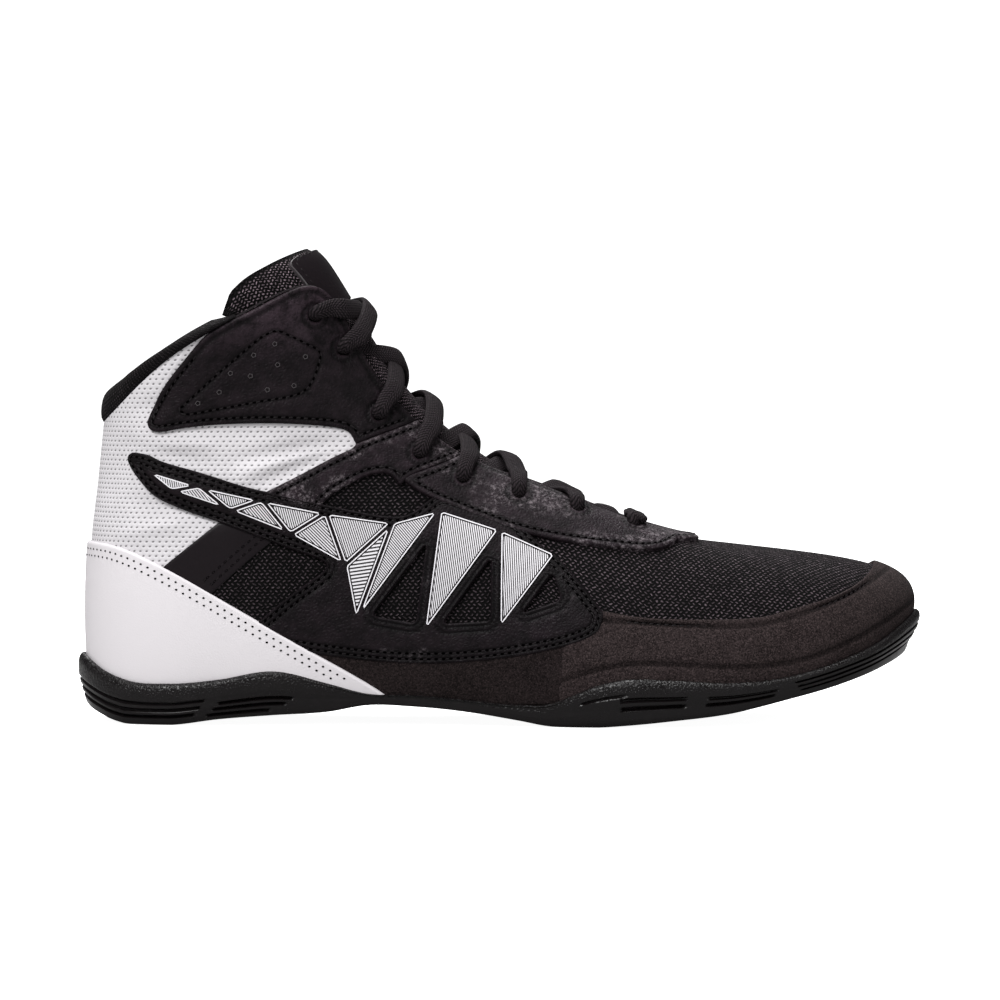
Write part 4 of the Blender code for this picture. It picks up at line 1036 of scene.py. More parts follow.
def noise(tree, where, scale, detail=3.0, rough=0.55):
    """Values of a noise at a place in metres, scale in bumps a metre."""
    node = tree.nodes.new("ShaderNodeTexNoise")
    joint(tree, where, node.inputs["Vector"])
    node.inputs["Scale"].default_value = scale
    node.inputs["Detail"].default_value = detail
    node.inputs["Roughness"].default_value = rough
    return node.outputs["Fac"]


def body_place(tree):
    """Places in the shoe's own space."""
    return tree.nodes.new("ShaderNodeTexCoord").outputs["Object"]


def cloth_value(tree):
    """The mesh's cloth coordinates in metres."""
    node = tree.nodes.new("ShaderNodeAttribute")
    node.attribute_name = "cloth"
    return node.outputs["Vector"]


def parted(tree, vector):
    """The three numbers of a vector."""
    node = tree.nodes.new("ShaderNodeSeparateXYZ")
    joint(tree, vector, node.inputs[0])
    return node.outputs


def bumped(tree, height, distance):
    """A normal raised by a height between 0 and 1 that stands for a distance in metres."""
    node = tree.nodes.new("ShaderNodeBump")
    node.inputs["Distance"].default_value = distance
    node.inputs["Strength"].default_value = 1.0
    joint(tree, height, node.inputs["Height"])
    return node.outputs["Normal"]


def effect(name, inputs, outputs, build):
    """A shader node group: build is given its tree and its inputs by name, and returns its outputs."""
    if name in bpy.data.node_groups:
        return bpy.data.node_groups[name]
    tree = bpy.data.node_groups.new(name, "ShaderNodeTree")
    for label, kind, default in inputs:
        socket = tree.interface.new_socket(label, in_out="INPUT", socket_type=kind)
        if default is not None:
            socket.default_value = default
    for label in outputs:
        tree.interface.new_socket(label, in_out="OUTPUT", socket_type="NodeSocketFloat")
    start = tree.nodes.new("NodeGroupInput")
    end = tree.nodes.new("NodeGroupOutput")
    results = build(tree, {label: start.outputs[label] for label, _, _ in inputs})
    for label, result in zip(outputs, results):
        tree.links.new(result, end.inputs[label])
    return tree


def placed(tree, group, **values):
    """The outputs of an effect placed in a material, with its own values."""
    node = tree.nodes.new("ShaderNodeGroup")
    node.node_tree = group
    for label, value in values.items():
        joint(tree, value, node.inputs[label.replace("_", " ").title()])
    return node.outputs


VECTOR = "NodeSocketVector"
NUMBER = "NodeSocketFloat"


def punched_cloth():
    """Staggered rows of small punched dots."""
    def build(tree, given):
        u, v, _ = parted(tree, given["Cloth"])
        row = over(tree, v, given["Row"])
        shift = times(tree, calc(tree, "FLOORED_MODULO", calc(tree, "FLOOR", row), 2.0), 0.5)
        column = plus(tree, over(tree, u, given["Pitch"]), shift)
        du = centred(tree, column)
        dv = centred(tree, row)
        du = over(tree, times(tree, du, given["Pitch"]), given["Long"])
        dv = over(tree, times(tree, dv, given["Row"]), given["Tall"])
        tilt = plus(tree, dv, times(tree, du, 0.25))
        away = calc(tree, "SQRT", plus(tree, squared(tree, du), squared(tree, tilt)))
        return ramped(tree, away, 0.75, 1.25, 1.0, 0.0), ramped(tree, away, 0.8, 2.6)

    inputs = (("Cloth", VECTOR, None), ("Pitch", NUMBER, 0.0023), ("Row", NUMBER, 0.0016),
              ("Long", NUMBER, 0.00046), ("Tall", NUMBER, 0.00028))
    return effect("punched cloth", inputs, ("Dot", "Height"), build)


def knitted_mesh():
    """Open sports mesh: slanted thread loops in staggered rows, with dark gaps between."""
    def build(tree, given):
        u, v, _ = parted(tree, given["Cloth"])
        uneven = minus(tree, noise(tree, given["Cloth"], 500.0, 2.0), 0.5)
        uneven = times(tree, uneven, given["Pitch"])
        u = plus(tree, u, times(tree, uneven, 0.9))
        v = plus(tree, v, times(tree, uneven, 0.5))
        row = over(tree, v, times(tree, given["Pitch"], 0.62))
        odd = calc(tree, "FLOORED_MODULO", calc(tree, "FLOOR", row), 2.0)
        lean = minus(tree, times(tree, odd, 2.0), 1.0)
        dv = centred(tree, row)
        column = plus(tree, over(tree, u, given["Pitch"]), times(tree, odd, 0.5))
        column = plus(tree, column, times(tree, times(tree, lean, dv), 0.45))
        du = centred(tree, column)
        wide, tall = (
            calc(tree, "POWER", times(tree, calc(tree, "ABSOLUTE", part), factor), 2.0)
            for part, factor in ((du, 2.6), (dv, 1.7))
        )
        loop = calc(tree, "SQRT", plus(tree, wide, tall))
        thread = ramped(tree, loop, 0.25, 1.05, 1.0, 0.0)
        fray = noise(tree, given["Cloth"], 2600.0, 2.0)
        height = times(tree, thread, plus(tree, 0.75, times(tree, fray, 0.5)))
        return height, ramped(tree, loop, 0.75, 1.2)

    inputs = (("Cloth", VECTOR, None), ("Pitch", NUMBER, 0.0016))
    return effect("knitted mesh", inputs, ("Thread", "Gap"), build)


def hide_grain():
    """Fine pebbled grain with pores, as a height."""
    def build(tree, given):
        cells = tree.nodes.new("ShaderNodeTexVoronoi")
        cells.feature = "DISTANCE_TO_EDGE"
        joint(tree, given["Place"], cells.inputs["Vector"])
        joint(tree, given["Scale"], cells.inputs["Scale"])
        fine = noise(tree, given["Place"], 3200.0, 2.0)
        ridge = ramped(tree, cells.outputs["Distance"], 0.0, 0.35)
        return (plus(tree, times(tree, ridge, 0.6), times(tree, fine, 0.4)),)

    return effect("hide grain", (("Place", VECTOR, None), ("Scale", NUMBER, 900.0)), ("Height",), build)


def rubbed():
    """Patches of pale speckles where a dark face has been rubbed, more of them near its edge."""
    def build(tree, given):
        patches = noise(tree, given["Place"], 55.0, 3.0)
        speckle = noise(tree, given["Place"], 700.0, 6.0, 0.8)
        _, _, reach = parted(tree, given["Cloth"])
        edge = ramped(tree, reach, 0.0, 0.004, 0.08, 0.0)
        level = minus(tree, plus(tree, patches, edge), minus(tree, 0.72, given["Amount"]))
        share_of = times(tree, ramped(tree, level, 0.0, 0.16), ramped(tree, speckle, 0.46, 0.66))
        return (share_of,)

    inputs = (("Place", VECTOR, None), ("Cloth", VECTOR, None), ("Amount", NUMBER, 0.1))
    return effect("rubbed", inputs, ("Share",), build)


def napped():
    """Short suede nap: fine specks over soft brushed patches."""
    def build(tree, given):
        patches = noise(tree, given["Place"], 90.0, 4.0, 0.6)
        specks = noise(tree, given["Place"], 2200.0, 2.0, 0.8)
        coarse = noise(tree, given["Place"], 1500.0, 2.0, 0.7)
        tone = plus(tree, times(tree, patches, 0.25), times(tree, coarse, 0.75))
        return ramped(tree, tone, 0.38, 0.62), ramped(tree, specks, 0.50, 0.68), coarse

    return effect("napped", (("Place", VECTOR, None),), ("Tone", "Speck", "Height"), build)


def hatched():
    """Fine slanted print lines."""
    def build(tree, given):
        u, v, _ = parted(tree, given["Cloth"])
        across = plus(tree, u, times(tree, v, given["Slant"]))
        wave = calc(tree, "ABSOLUTE", centred(tree, over(tree, across, given["Pitch"])))
        low = minus(tree, given["Share"], 0.07)
        high = plus(tree, given["Share"], 0.07)
        return (ramped(tree, wave, low, high, 1.0, 0.0),)

    inputs = (("Cloth", VECTOR, None), ("Pitch", NUMBER, 0.0008),
              ("Slant", NUMBER, 0.5), ("Share", NUMBER, 0.24))
    return effect("hatched", inputs, ("Line",), build)


def plaited():
    """Woven lace: two sets of slanted threads that meet along its middle. Cloth runs along and across."""
    def build(tree, given):
        u, v, _ = parted(tree, given["Cloth"])
        slope = calc(tree, "ABSOLUTE", v)
        lane = over(tree, plus(tree, u, times(tree, slope, 0.9)), given["Pitch"])
        thread = minus(tree, 1.0, times(tree, calc(tree, "ABSOLUTE", centred(tree, lane)), 2.0))
        rib = over(tree, slope, times(tree, given["Pitch"], 0.75))
        rib = minus(tree, 1.0, times(tree, calc(tree, "ABSOLUTE", centred(tree, rib)), 1.4))
        height = times(tree, ramped(tree, thread, 0.0, 0.8), rib)
        return (height,)

    return effect("plaited", (("Cloth", VECTOR, None), ("Pitch", NUMBER, 0.0011)), ("Height",), build)


def pebbled():
    """The sole's fine stipple."""
    def build(tree, given):
        cells = tree.nodes.new("ShaderNodeTexVoronoi")
        cells.feature = "SMOOTH_F1"
        joint(tree, given["Place"], cells.inputs["Vector"])
        joint(tree, given["Scale"], cells.inputs["Scale"])
        return (ramped(tree, cells.outputs["Distance"], 0.1, 0.6, 1.0, 0.0),)

    return effect("pebbled", (("Place", VECTOR, None), ("Scale", NUMBER, 1500.0)), ("Height",), build)


def new_material(name):
    """An empty Principled material: its tree and its shader."""
    made = bpy.data.materials.new(name)
    made.use_nodes = True
    return made, made.node_tree, made.node_tree.nodes["Principled BSDF"]


def seam_shaded(tree, colour, cloth):
    """The colour with painted shade in the grooves where a seam presses it in."""
    _, _, reach = parted(tree, cloth)
    pressed = ramped(tree, reach, 0.0003, 0.0013, 0.72, 0.0)
    return blended(tree, pressed, colour, (0.12, 0.12, 0.12), "MULTIPLY")


def settle(tree, shader, colour=None, roughness=None, normal=None, **plain):
    """Feeds a shader its colour, roughness and normal, and sets its plain values."""
    if colour is not None:
        joint(tree, colour, shader.inputs["Base Color"])
    if roughness is not None:
        joint(tree, roughness, shader.inputs["Roughness"])
    if normal is not None:
        joint(tree, normal, shader.inputs["Normal"])
    for label, value in plain.items():
        shader.inputs[label.replace("_", " ")].default_value = value


def rubber_finish(tree, shader, colours):
    """Moulded black rubber: satin, with a stippled band under its rim and patches of dust."""
    where = body_place(tree)
    _, _, band = parted(tree, cloth_value(tree))
    pebble = placed(tree, pebbled(), place=where, scale=1500.0)["Height"]
    pebble = times(tree, pebble, ramped(tree, band, 0.45, 0.9))
    dust = noise(tree, where, 160.0, 4.0, 0.6)
    black = tuple(colours.rubber)
    dusty = tuple(c * 1.6 + 0.001 for c in black)
    colour = blended(tree, ramped(tree, dust, 0.5, 0.8, 0.0, 0.5), black, dusty)
    rough = plus(tree, ramped(tree, dust, 0.3, 0.75, 0.26, 0.4), times(tree, pebble, 0.16))
    height = plus(tree, pebble, times(tree, noise(tree, where, 700.0, 3.0), 0.25))
    settle(tree, shader, colour, rough, bumped(tree, height, 0.00018), Specular_IOR_Level=0.22)


def cloth_finish(tree, shader, colours):
    """Black cloth over foam."""
    where = body_place(tree)
    thread = placed(tree, knitted_mesh(), cloth=where, pitch=0.0012)["Thread"]
    black = tuple(colours.mesh)
    colour = blended(tree, thread, shade(black, 0.6), shade(black, 1.6))
    settle(tree, shader, colour, 0.9, bumped(tree, thread, 0.00015), Specular_IOR_Level=0.1)


def mesh_finish(pitch, deep, thread_tone_and_sheen):
    """Open black sports mesh of a pitch, its gaps as deep as the foam under it, its threads so bright: partly
    their own grey and partly painted sheen.
    """
    def build(tree, shader, colours):
        cloth = cloth_value(tree)
        loops = placed(tree, knitted_mesh(), cloth=cloth, pitch=pitch)
        patches = noise(tree, body_place(tree), 420.0, 3.0, 0.7)
        black = tuple(colours.mesh)
        bright = ramped(tree, patches, 0.36, 0.66, 0.3, 1.0)
        thread = times(tree, ramped(tree, loops["Thread"], 0.3, 1.1), bright)
        _, _, reach = parted(tree, cloth)
        thread = times(tree, thread, ramped(tree, reach, 0.0010, 0.0016, 0.08, 1.0))
        colour = blended(tree, thread, shade(black, 0.1), shade(black, thread_tone_and_sheen))
        rough = ramped(tree, thread, 0.0, 1.0, 0.95, 0.6)
        settle(tree, shader, colour, rough, bumped(tree, loops["Thread"], deep), Specular_IOR_Level=0.12)

    return build


def quarter_finish(tree, shader, colours):
    """White punched synthetic with a soft pillowy face."""
    where = body_place(tree)
    punched = placed(tree, punched_cloth(), cloth=cloth_value(tree))
    white = tuple(colours.quarter)
    soil = ramped(tree, noise(tree, where, 60.0, 4.0), 0.4, 0.8, 0.0, 0.35)
    colour = blended(tree, soil, white, shade(white, 0.8))
    colour = blended(tree, punched["Dot"], colour, shade(white, 0.26))
    height = plus(tree, punched["Height"], times(tree, noise(tree, where, 420.0, 3.0), 0.7))
    settle(tree, shader, colour, 0.6, bumped(tree, height, 0.00012), Specular_IOR_Level=0.2)


def counter_finish(tree, shader, colours):
    """Smooth white synthetic leather, satin."""
    where = body_place(tree)
    white = tuple(colours.counter)
    soil = ramped(tree, noise(tree, where, 45.0, 4.0), 0.45, 0.85, 0.0, 0.4)
    colour = blended(tree, soil, white, shade(white, 0.93))
    grain = placed(tree, hide_grain(), place=where, scale=1100.0)["Height"]
    rough = ramped(tree, noise(tree, where, 200.0, 3.0), 0.3, 0.7, 0.40, 0.5)
    settle(tree, shader, colour, rough, bumped(tree, grain, 0.00003), Specular_IOR_Level=0.4)


def suede_finish(factor):
    """Black suede with a short speckled nap; a factor below 1 makes a copy darkened with painted shade."""
    def build(tree, shader, colours):
        nap = placed(tree, napped(), place=body_place(tree))
        dark = shade(colours.suede, factor)
        colour = blended(tree, nap["Tone"], shade(dark, 0.45), shade(dark, 1.6))
        colour = blended(tree, times(tree, nap["Speck"], 0.6), colour, shade(dark, 5))
        colour = seam_shaded(tree, colour, cloth_value(tree))
        settle(tree, shader, colour, 0.95, bumped(tree, nap["Height"], 0.0005), Specular_IOR_Level=0.04,
               Sheen_Weight=0.02, Sheen_Roughness=0.5)

    return build


def synthetic_finish(amount, factor=1.0):
    """Matt black nubuck-like synthetic, rubbed pale in places, with painted light towards its top."""
    def build(tree, shader, colours):
        where = body_place(tree)
        cloth = cloth_value(tree)
        grain = placed(tree, hide_grain(), place=where, scale=800.0)["Height"]
        worn = placed(tree, rubbed(), place=where, cloth=cloth, amount=amount)["Share"]
        _, _, tall = parted(tree, where)
        black = shade(colours.synthetic, factor)
        tone = ramped(tree, noise(tree, where, 150.0, 6.0, 0.75), 0.34, 0.68)
        colour = blended(tree, tone, shade(black, 0.5), shade(black, 1.6))
        # Painted light: the face is painted lighter from 0.118 m up to 0.148 m, where the top light falls on
        # it
        painted_top_light = times(tree, ramped(tree, tall, 0.118, 0.148, 0.0, 0.8), tone)
        colour = blended(tree, painted_top_light, colour, shade(black, 6.5))
        colour = blended(tree, times(tree, worn, 0.7), colour, tuple(colours.wear_and_glint))
        colour = seam_shaded(tree, colour, cloth)
        rough = ramped(tree, tone, 0.0, 1.0, 0.54, 0.42)
        settle(tree, shader, colour, rough, bumped(tree, grain, 0.00018), Specular_IOR_Level=0.08)

    return build


def film_finish(tree, shader, colours):
    """Printed silver film: fine pale lines on black."""
    line = placed(tree, hatched(), cloth=cloth_value(tree))["Line"]
    silver = tuple(colours.silver)
    colour = blended(tree, line, silver, tuple(colours.synthetic))
    rough = ramped(tree, line, 0.0, 1.0, 0.42, 0.7)
    settle(tree, shader, colour, rough, bumped(tree, line, 0.00004), Specular_IOR_Level=0.4)


def plain_finish(field, factor, rough, shine=0.1):
    """Thread, print and small dark parts in one of the shoe's colours, with a little variation."""
    def build(tree, shader, colours):
        base = shade(getattr(colours, field), factor)
        vary = noise(tree, body_place(tree), 900.0, 2.0)
        colour = blended(tree, vary, shade(base, 0.75), tuple(min(c * 1.25, 0.95) for c in base))
        settle(tree, shader, colour, rough, bumped(tree, vary, 0.00004), Specular_IOR_Level=shine)

    return build


def lace_finish(tree, shader, colours):
    """Flat woven black lace."""
    height = placed(tree, plaited(), cloth=cloth_value(tree))["Height"]
    fuzz = noise(tree, body_place(tree), 1800.0, 2.0)
    black = tuple(colours.lace)
    colour = blended(tree, height, shade(black, 0.1), shade(black, 3.6))
    colour = blended(tree, ramped(tree, fuzz, 0.55, 0.8, 0.0, 0.35), colour, shade(black, 9))
    settle(tree, shader, colour, 0.85, bumped(tree, height, 0.0003), Specular_IOR_Level=0.1)


FINISHES = {
    "rubber": rubber_finish,
    "insole_cloth": cloth_finish,
    "lining": cloth_finish,
    "mesh": mesh_finish(0.0018, 0.0006, 11.0),
    "open_mesh": mesh_finish(0.0018, 0.0007, 8.0),
    # One mesh painted with different light: the collar's threads darker as shade, and the tongue's much
    # lighter, since it faces the top light
    "collar_mesh": mesh_finish(0.0013, 0.0003, 3.5),
    "tongue_mesh": mesh_finish(0.0012, 0.0004, 26.0),
    "quarter": quarter_finish,
    "counter": counter_finish,
    "suede": suede_finish(1.0),
    # The side guards' suede is painted darker as shade, because it faces sideways, away from the top light
    "side_suede": suede_finish(0.55),
    "synthetic": synthetic_finish(0.0),
    "worn_synthetic": synthetic_finish(0.28, 1.7),
    "panel": synthetic_finish(0.06),
    "smooth_panel": plain_finish("synthetic", 1.0, 0.42, 0.12),
    "film": film_finish,
    "print": plain_finish("silver", 1.1, 0.5),
    # rim: a pale colour painted round the pinholes as their highlight, also the tongue patch's pale edge line
    "rim": plain_finish("wear_and_glint", 0.22, 0.4, 0.4),
    "thread": plain_finish("thread", 1.0, 0.5, 0.14),
    # hole: near-black and without shine, painted shade inside the needle holes, pinholes and counter holes
    "hole": plain_finish("synthetic", 0.08, 0.95, 0.0),
    "lace": lace_finish,
}


def material(kind):
    """The material of one finish, made once."""
    name = f"shoe {kind}"
    if name in bpy.data.materials:
        return bpy.data.materials[name]
    made, tree, shader = new_material(name)
    FINISHES[kind](tree, shader, bpy.context.scene.shoe_colours)
    return made


SOLE_COLUMNS = 800
SOLE_ROWS = 44
SOLE_SEAT = 0.00165
# How thick the sole's side is down from its rim, as shares of its drop and of CUP_WALL
SIDE_THICK = ((0.00, 0.30), (0.03, 0.55), (0.08, 0.76), (0.16, 0.90), (0.42, 1.02), (0.66, 0.88),
              (0.90, 0.58), (1.00, 0.36))
FLUTE_FADE = 0.0035


def fluted(along, level):
    """How deep the sole's side is sunk at shares along the shoe and up the side."""
    deep = np.zeros(np.broadcast(along, level).shape)
    for flute in FLUTES:
        shifted = along - flute.lean * (level - 0.5)
        ends = np.clip(np.minimum(shifted - flute.start, flute.end - shifted) / FLUTE_FADE, 0, 1)
        rise = np.clip((level - flute.low) / (flute.high - flute.low), 0, 1)
        deep = np.maximum(deep, flute.deep * ends * ends * (3 - 2 * ends) * np.sin(math.pi * rise) ** 0.6)
    return deep


def heights_up(around, heights):
    """How far up each rib each height lies: one row of heights a rib."""
    steps = np.linspace(0, 0.6, 120)
    table = skin(around[:, None], steps[None, :])[..., 2]
    return np.array([np.interp(level, row, steps) for level, row in zip(heights, table)])


def sole_side_points(around, drops):
    """The sole's side as rows of points from its rim down, with its flutes, and each point's level."""
    foot = FOOT_LOOP(around)
    out = outward(around)
    rim, bottom, bulk = (sole_height(f, foot[:, 0]) for f in ("rim", "bottom", "bulk"))
    bulk = bulk / BUMPER_HEIGHT
    heights = rim[:, None] + (bottom + TREAD_DEPTH * 0.3 - rim)[:, None] * drops[None, :]
    up = heights_up(around, heights)
    ribs = np.repeat(around[:, None], len(drops), axis=1)
    point = skin(ribs, up)
    lean = (skin_normal(ribs, up) * out[:, None, :]).sum(-1)
    thick = np.interp(drops, *zip(*SIDE_THICK)) * CUP_WALL
    thick = thick[None, :] * np.where(drops[None, :] > 0.1, bulk[:, None], 0.5 + 0.5 * bulk[:, None])
    level = 1 - drops[None, :] + 0 * up
    reach = SOLE_SEAT / lean + thick - fluted(share(point[..., 0]), level)
    point = point + out[:, None, :] * reach[..., None]
    point[..., 2] = heights
    return point.transpose(1, 0, 2), level.T


def squarer(values, power):
    """A sine or cosine bent towards a square's: the lower the power, the squarer."""
    return np.sign(values) * np.abs(values) ** power


def sole_lugs(inner_loop):
    """The lugs under the sole, each a low block with soft corners."""
    half = len(inner_loop) // 2
    outer = inner_loop[: half + 1]
    inner = np.concatenate([inner_loop[:1], inner_loop[: half - 1: -1]])
    pieces = []
    turns = np.linspace(0, math.tau, 28, endpoint=False)
    square = np.stack([squarer(np.cos(turns), 0.35), squarer(np.sin(turns), 0.35)], -1) / 2
    for row in LUG_ROWS:
        middle = place(row.x)
        ends = [middle - LUG_LENGTH / 2, middle + LUG_LENGTH / 2]
        low = np.interp(ends, outer[::-1, 0], outer[::-1, 1]) + LUG_GAP
        high = np.interp(ends, inner[::-1, 0], inner[::-1, 1]) - LUG_GAP
        pitch = (high - low + LUG_GAP) / row.across
        for k in range(row.across):
            left = low + pitch * k
            wide = pitch - LUG_GAP
            rings = []
            for grow, rise in LUG_RINGS:
                part = square[:, 0] * grow + 0.5
                x = middle + square[:, 0] * grow * LUG_LENGTH
                y = left[0] + (left[1] - left[0]) * part + (wide[0] + (wide[1] - wide[0]) * part) * (
                    square[:, 1] * grow + 0.5)
                rings.append(np.stack([x, y, sole_height("bottom", x) + rise], -1))
            points = np.vstack(rings)
            faces = grid_faces(len(rings), len(turns), around=True)
            faces.append(end_caps(len(points), len(turns))[1])
            pieces.append(Piece(points, faces, np.zeros_like(points)))
    return pieces


def make_outsole():
    around = np.arange(SOLE_COLUMNS) / SOLE_COLUMNS
    foot = FOOT_LOOP(around)
    out = outward(around)
    drops = np.concatenate([[0, 0.012, 0.03, 0.055, 0.085], np.linspace(0.12, 1, SOLE_ROWS - 5)])
    side, level = sole_side_points(around, drops)
    rim = side[0]
    hidden = rim - out * CUP_WALL * 0.25
    tucked = hidden - np.array([0, 0, 0.0025])
    rows = [tucked, hidden, *side]
    levels = [np.ones_like(level[0])] * 2 + list(level)
    pod = np.clip((sole_height("bulk", foot[:, 0]) / BUMPER_HEIGHT - 0.35) / 0.3, 0, 1)
    for inset, sunk in ((0.0010, 0.0), (TREAD_RIM, 0.0), (TREAD_RIM + TREAD_DEPTH * 0.6, 1.0)):
        ring = foot - out * inset
        ring[:, 2] = sole_height("bottom", ring[:, 0]) + sunk * TREAD_DEPTH * pod
        rows.append(ring)
        levels.append(np.zeros_like(level[0]))
    points = np.vstack(rows)
    run = run_along(foot)
    cloth = np.stack([np.tile(run, len(rows)), points[:, 2], np.concatenate(levels)], -1)
    faces = grid_faces(len(rows), SOLE_COLUMNS, around=True)
    last = (len(rows) - 1) * SOLE_COLUMNS
    for j in range(SOLE_COLUMNS // 2):
        loop = (j, j + 1, SOLE_COLUMNS - j - 1, (SOLE_COLUMNS - j) % SOLE_COLUMNS)
        face = tuple(dict.fromkeys(last + corner for corner in loop))
        if len(face) > 2:
            faces.append(face)
    body = Piece(points, faces, cloth)
    piece = joined([body] + sole_lugs(rows[-1]))
    finished("outsole_rubber", piece, "rubber", "rubber", replaces=("outsole",), smooth=50)


UPPER_COLUMNS = 600
UPPER_ROWS = 116
LINING_ROWS = 18
CROWN_BEND = 0.030
VAMP_START = 0.50


def crown_table():
    """x, the middle's y, the opening's half width and z along the throat and the vamp's crown before it."""
    ribs = np.linspace(RIB_AT["top_corner"], 0, 120)
    outer, inner = EDGE_LOOP(ribs), EDGE_LOOP(1 - ribs)
    vamp = skin(np.zeros(120), np.linspace(1, 0.05, 120))[1:]
    middle = (outer[:, 1] + inner[:, 1]) / 2
    half = np.abs(outer[:, 1] - inner[:, 1]) / 2
    throat = np.stack([outer[:, 0], middle, half, outer[:, 2]], -1)
    return np.vstack([throat, np.stack([vamp[:, 0], vamp[:, 1], vamp[:, 1] * 0, vamp[:, 2]], -1)])


def vamp_cloth(points):
    """Cloth coordinates of the vamp and the side windows: along the shoe and down from the crown."""
    table = crown_table()
    order = np.argsort(table[:, 0])
    x, y, z = np.moveaxis(points, -1, 0)
    middle, half, crown = (np.interp(x, table[order, 0], table[order, k]) for k in (1, 2, 3))
    chord = np.hypot(np.maximum(np.abs(y - middle) - half, 0), crown - z)
    return np.stack([x, np.sign(y - middle) * (chord * (1 + (chord / CROWN_BEND) ** 2 / 24) + half)], -1)


def make_upper():
    around = np.arange(UPPER_COLUMNS) / UPPER_COLUMNS
    rise = 1 - (1 - np.linspace(0, 1, UPPER_ROWS)) ** 1.25
    ribs, up = np.meshgrid(around, rise)
    outer = surface(ribs, up)
    lining_rise = np.linspace(1, 0.02, LINING_ROWS)
    inner_ribs, inner_up = np.meshgrid(around, lining_rise)
    inner = surface(inner_ribs, inner_up, -WALL)
    lip = (surface(around, np.ones_like(around), -WALL * 0.5) + np.array([0, 0, 0.0004]))[None]
    rows = np.concatenate([outer, lip, inner])
    points = rows.reshape(-1, 3)
    steps = np.linalg.norm(np.diff(rows, axis=1)[..., :2], axis=-1)
    arc = np.concatenate([np.zeros((len(rows), 1)), np.cumsum(steps, axis=1)], 1)
    arc -= arc[:, UPPER_COLUMNS // 2][:, None]
    region = metres(WHITE_REGION)
    white = within(points[:, [0, 2]], region)
    cloth = np.zeros_like(points)
    behind = white | (points[:, 0] < place(VAMP_START))
    cloth[:, :2] = np.where(behind[:, None], np.stack([arc.ravel(), points[:, 2]], -1), vamp_cloth(points))
    cloth[:, 2] = CLOTH_FAR
    faces = grid_faces(len(rows), UPPER_COLUMNS, around=True, flip=True)
    corners = np.array(faces)
    middle = points[corners].mean(1)
    holes = np.array([skin(side_of(a, s), u) for a, u in eyelet_places() for s in BOTH])
    clear = reach_from(middle, holes) > EYELET_RADIUS * 1.2
    white_face = within(middle[:, [0, 2]], region)
    row_of = np.arange(len(faces)) // UPPER_COLUMNS
    kinds = ("mesh", "quarter", "lining", "open_mesh")
    slots = np.where(middle[:, 0] < place(VAMP_START), kinds.index("open_mesh"), kinds.index("mesh"))
    slots = np.where(white_face, kinds.index("quarter"), slots)
    slots = np.where(row_of >= UPPER_ROWS - 1, kinds.index("lining"), slots)
    faces = [f for f, keep in zip(faces, clear) if keep]
    finished("upper_cloth", Piece(points, faces, cloth), "black_mesh", *kinds, replaces=("upper",), smooth=60,
             slots=slots[clear])


def half_loop(line, middle, level):
    """A closed outline over both sides: a half line from the middle of the toe or the heel, and its twin."""
    view = rounded(metres(line), closed=False)
    half = wall_places(view)
    rise = np.linspace(0, 1, DENSE * 2)
    rib = skin(np.full_like(rise, middle), rise)[:, [0, 2]]
    half[0] = middle, rise[((rib - view[0]) ** 2).sum(1).argmin()]
    half[-1, 1] = level
    twin = half[::-1] * (-1, 1) + (2 * middle, 0)
    back = np.linspace(half[-1, 0], 2 * middle - half[-1, 0], 200)[1:-1]
    return np.vstack([twin[:-1], half, np.stack([back, np.full_like(back, level)], -1)])


def panel(name, node, slot, kind, filled, face, **form):
    """A panel on the outer side and its twin on the inner side, in place of their solids."""
    for side, word in ((OUTER, "outer"), (INNER, "inner")):
        stands_for = (f"{node}_{word}",) if node else ()
        finished(f"{name}_{word}", laid(filled, side, face, **form), slot, kind, replaces=stands_for)


NEEDLE_RADIUS = 0.00036
NEEDLE_LIFT = 0.00006
GUARD_NEEDLE = 0.00052


def only(row, keep):
    """A row of like units with only the kept ones."""
    each = len(row.points) // len(keep)
    faces_each = len(row.faces) // len(keep)
    used = np.repeat(keep, each)
    index = np.cumsum(used) - 1
    faces = [f for s, kept in enumerate(keep) if kept for f in row.faces[s * faces_each:(s + 1) * faces_each]]
    return Piece(row.points[used], [tuple(int(index[i]) for i in f) for f in faces], row.cloth[used])


def seam(at, face, sizes, closed=False, keep=None, sides=BOTH, needle=NEEDLE_RADIUS):
    """Stitches and the needle holes between them along places at the stitches' pitch."""
    threads, holes = [], []
    ahead = np.roll(at, -1, axis=0) if closed else np.vstack([at[1:], at[-1:]])
    for side in sides:
        thread = stitches(at, side, face, sizes, closed)
        hole = holes_along((at + ahead) / 2, side, face + NEEDLE_LIFT, needle, 1.9, in_line=True)
        if keep is not None:
            thread = only(thread, keep)
            hole = only(hole, keep & np.roll(keep, -1))
        threads.append(thread)
        holes.append(hole)
    return threads, holes


def edge_seam(at, inset, face, sizes, sides=BOTH):
    """A seam inside the edge of a closed outline, left out where the edge is the throat's."""
    base = even(at, sizes.stitch_length + sizes.stitch_gap)
    ring = beside(base, inward(base) * inset)
    fine = skin(*even(at, EDGE_STEP).T)
    keep = within(ring, at) & (reach_from(skin(*ring.T), fine) > inset * 0.92)
    keep &= (base[:, 1] < 0.97) & (base[:, 1] > 0.03)
    return seam(ring, face, sizes, closed=True, keep=keep, sides=sides)


def line_seam(line, face, sizes, closed=False, needle=NEEDLE_RADIUS):
    """A seam along a side-view line, on both sides."""
    at = even(outline(line, closed), sizes.stitch_length + sizes.stitch_gap, closed)
    return seam(at, face, sizes, closed, needle=needle)


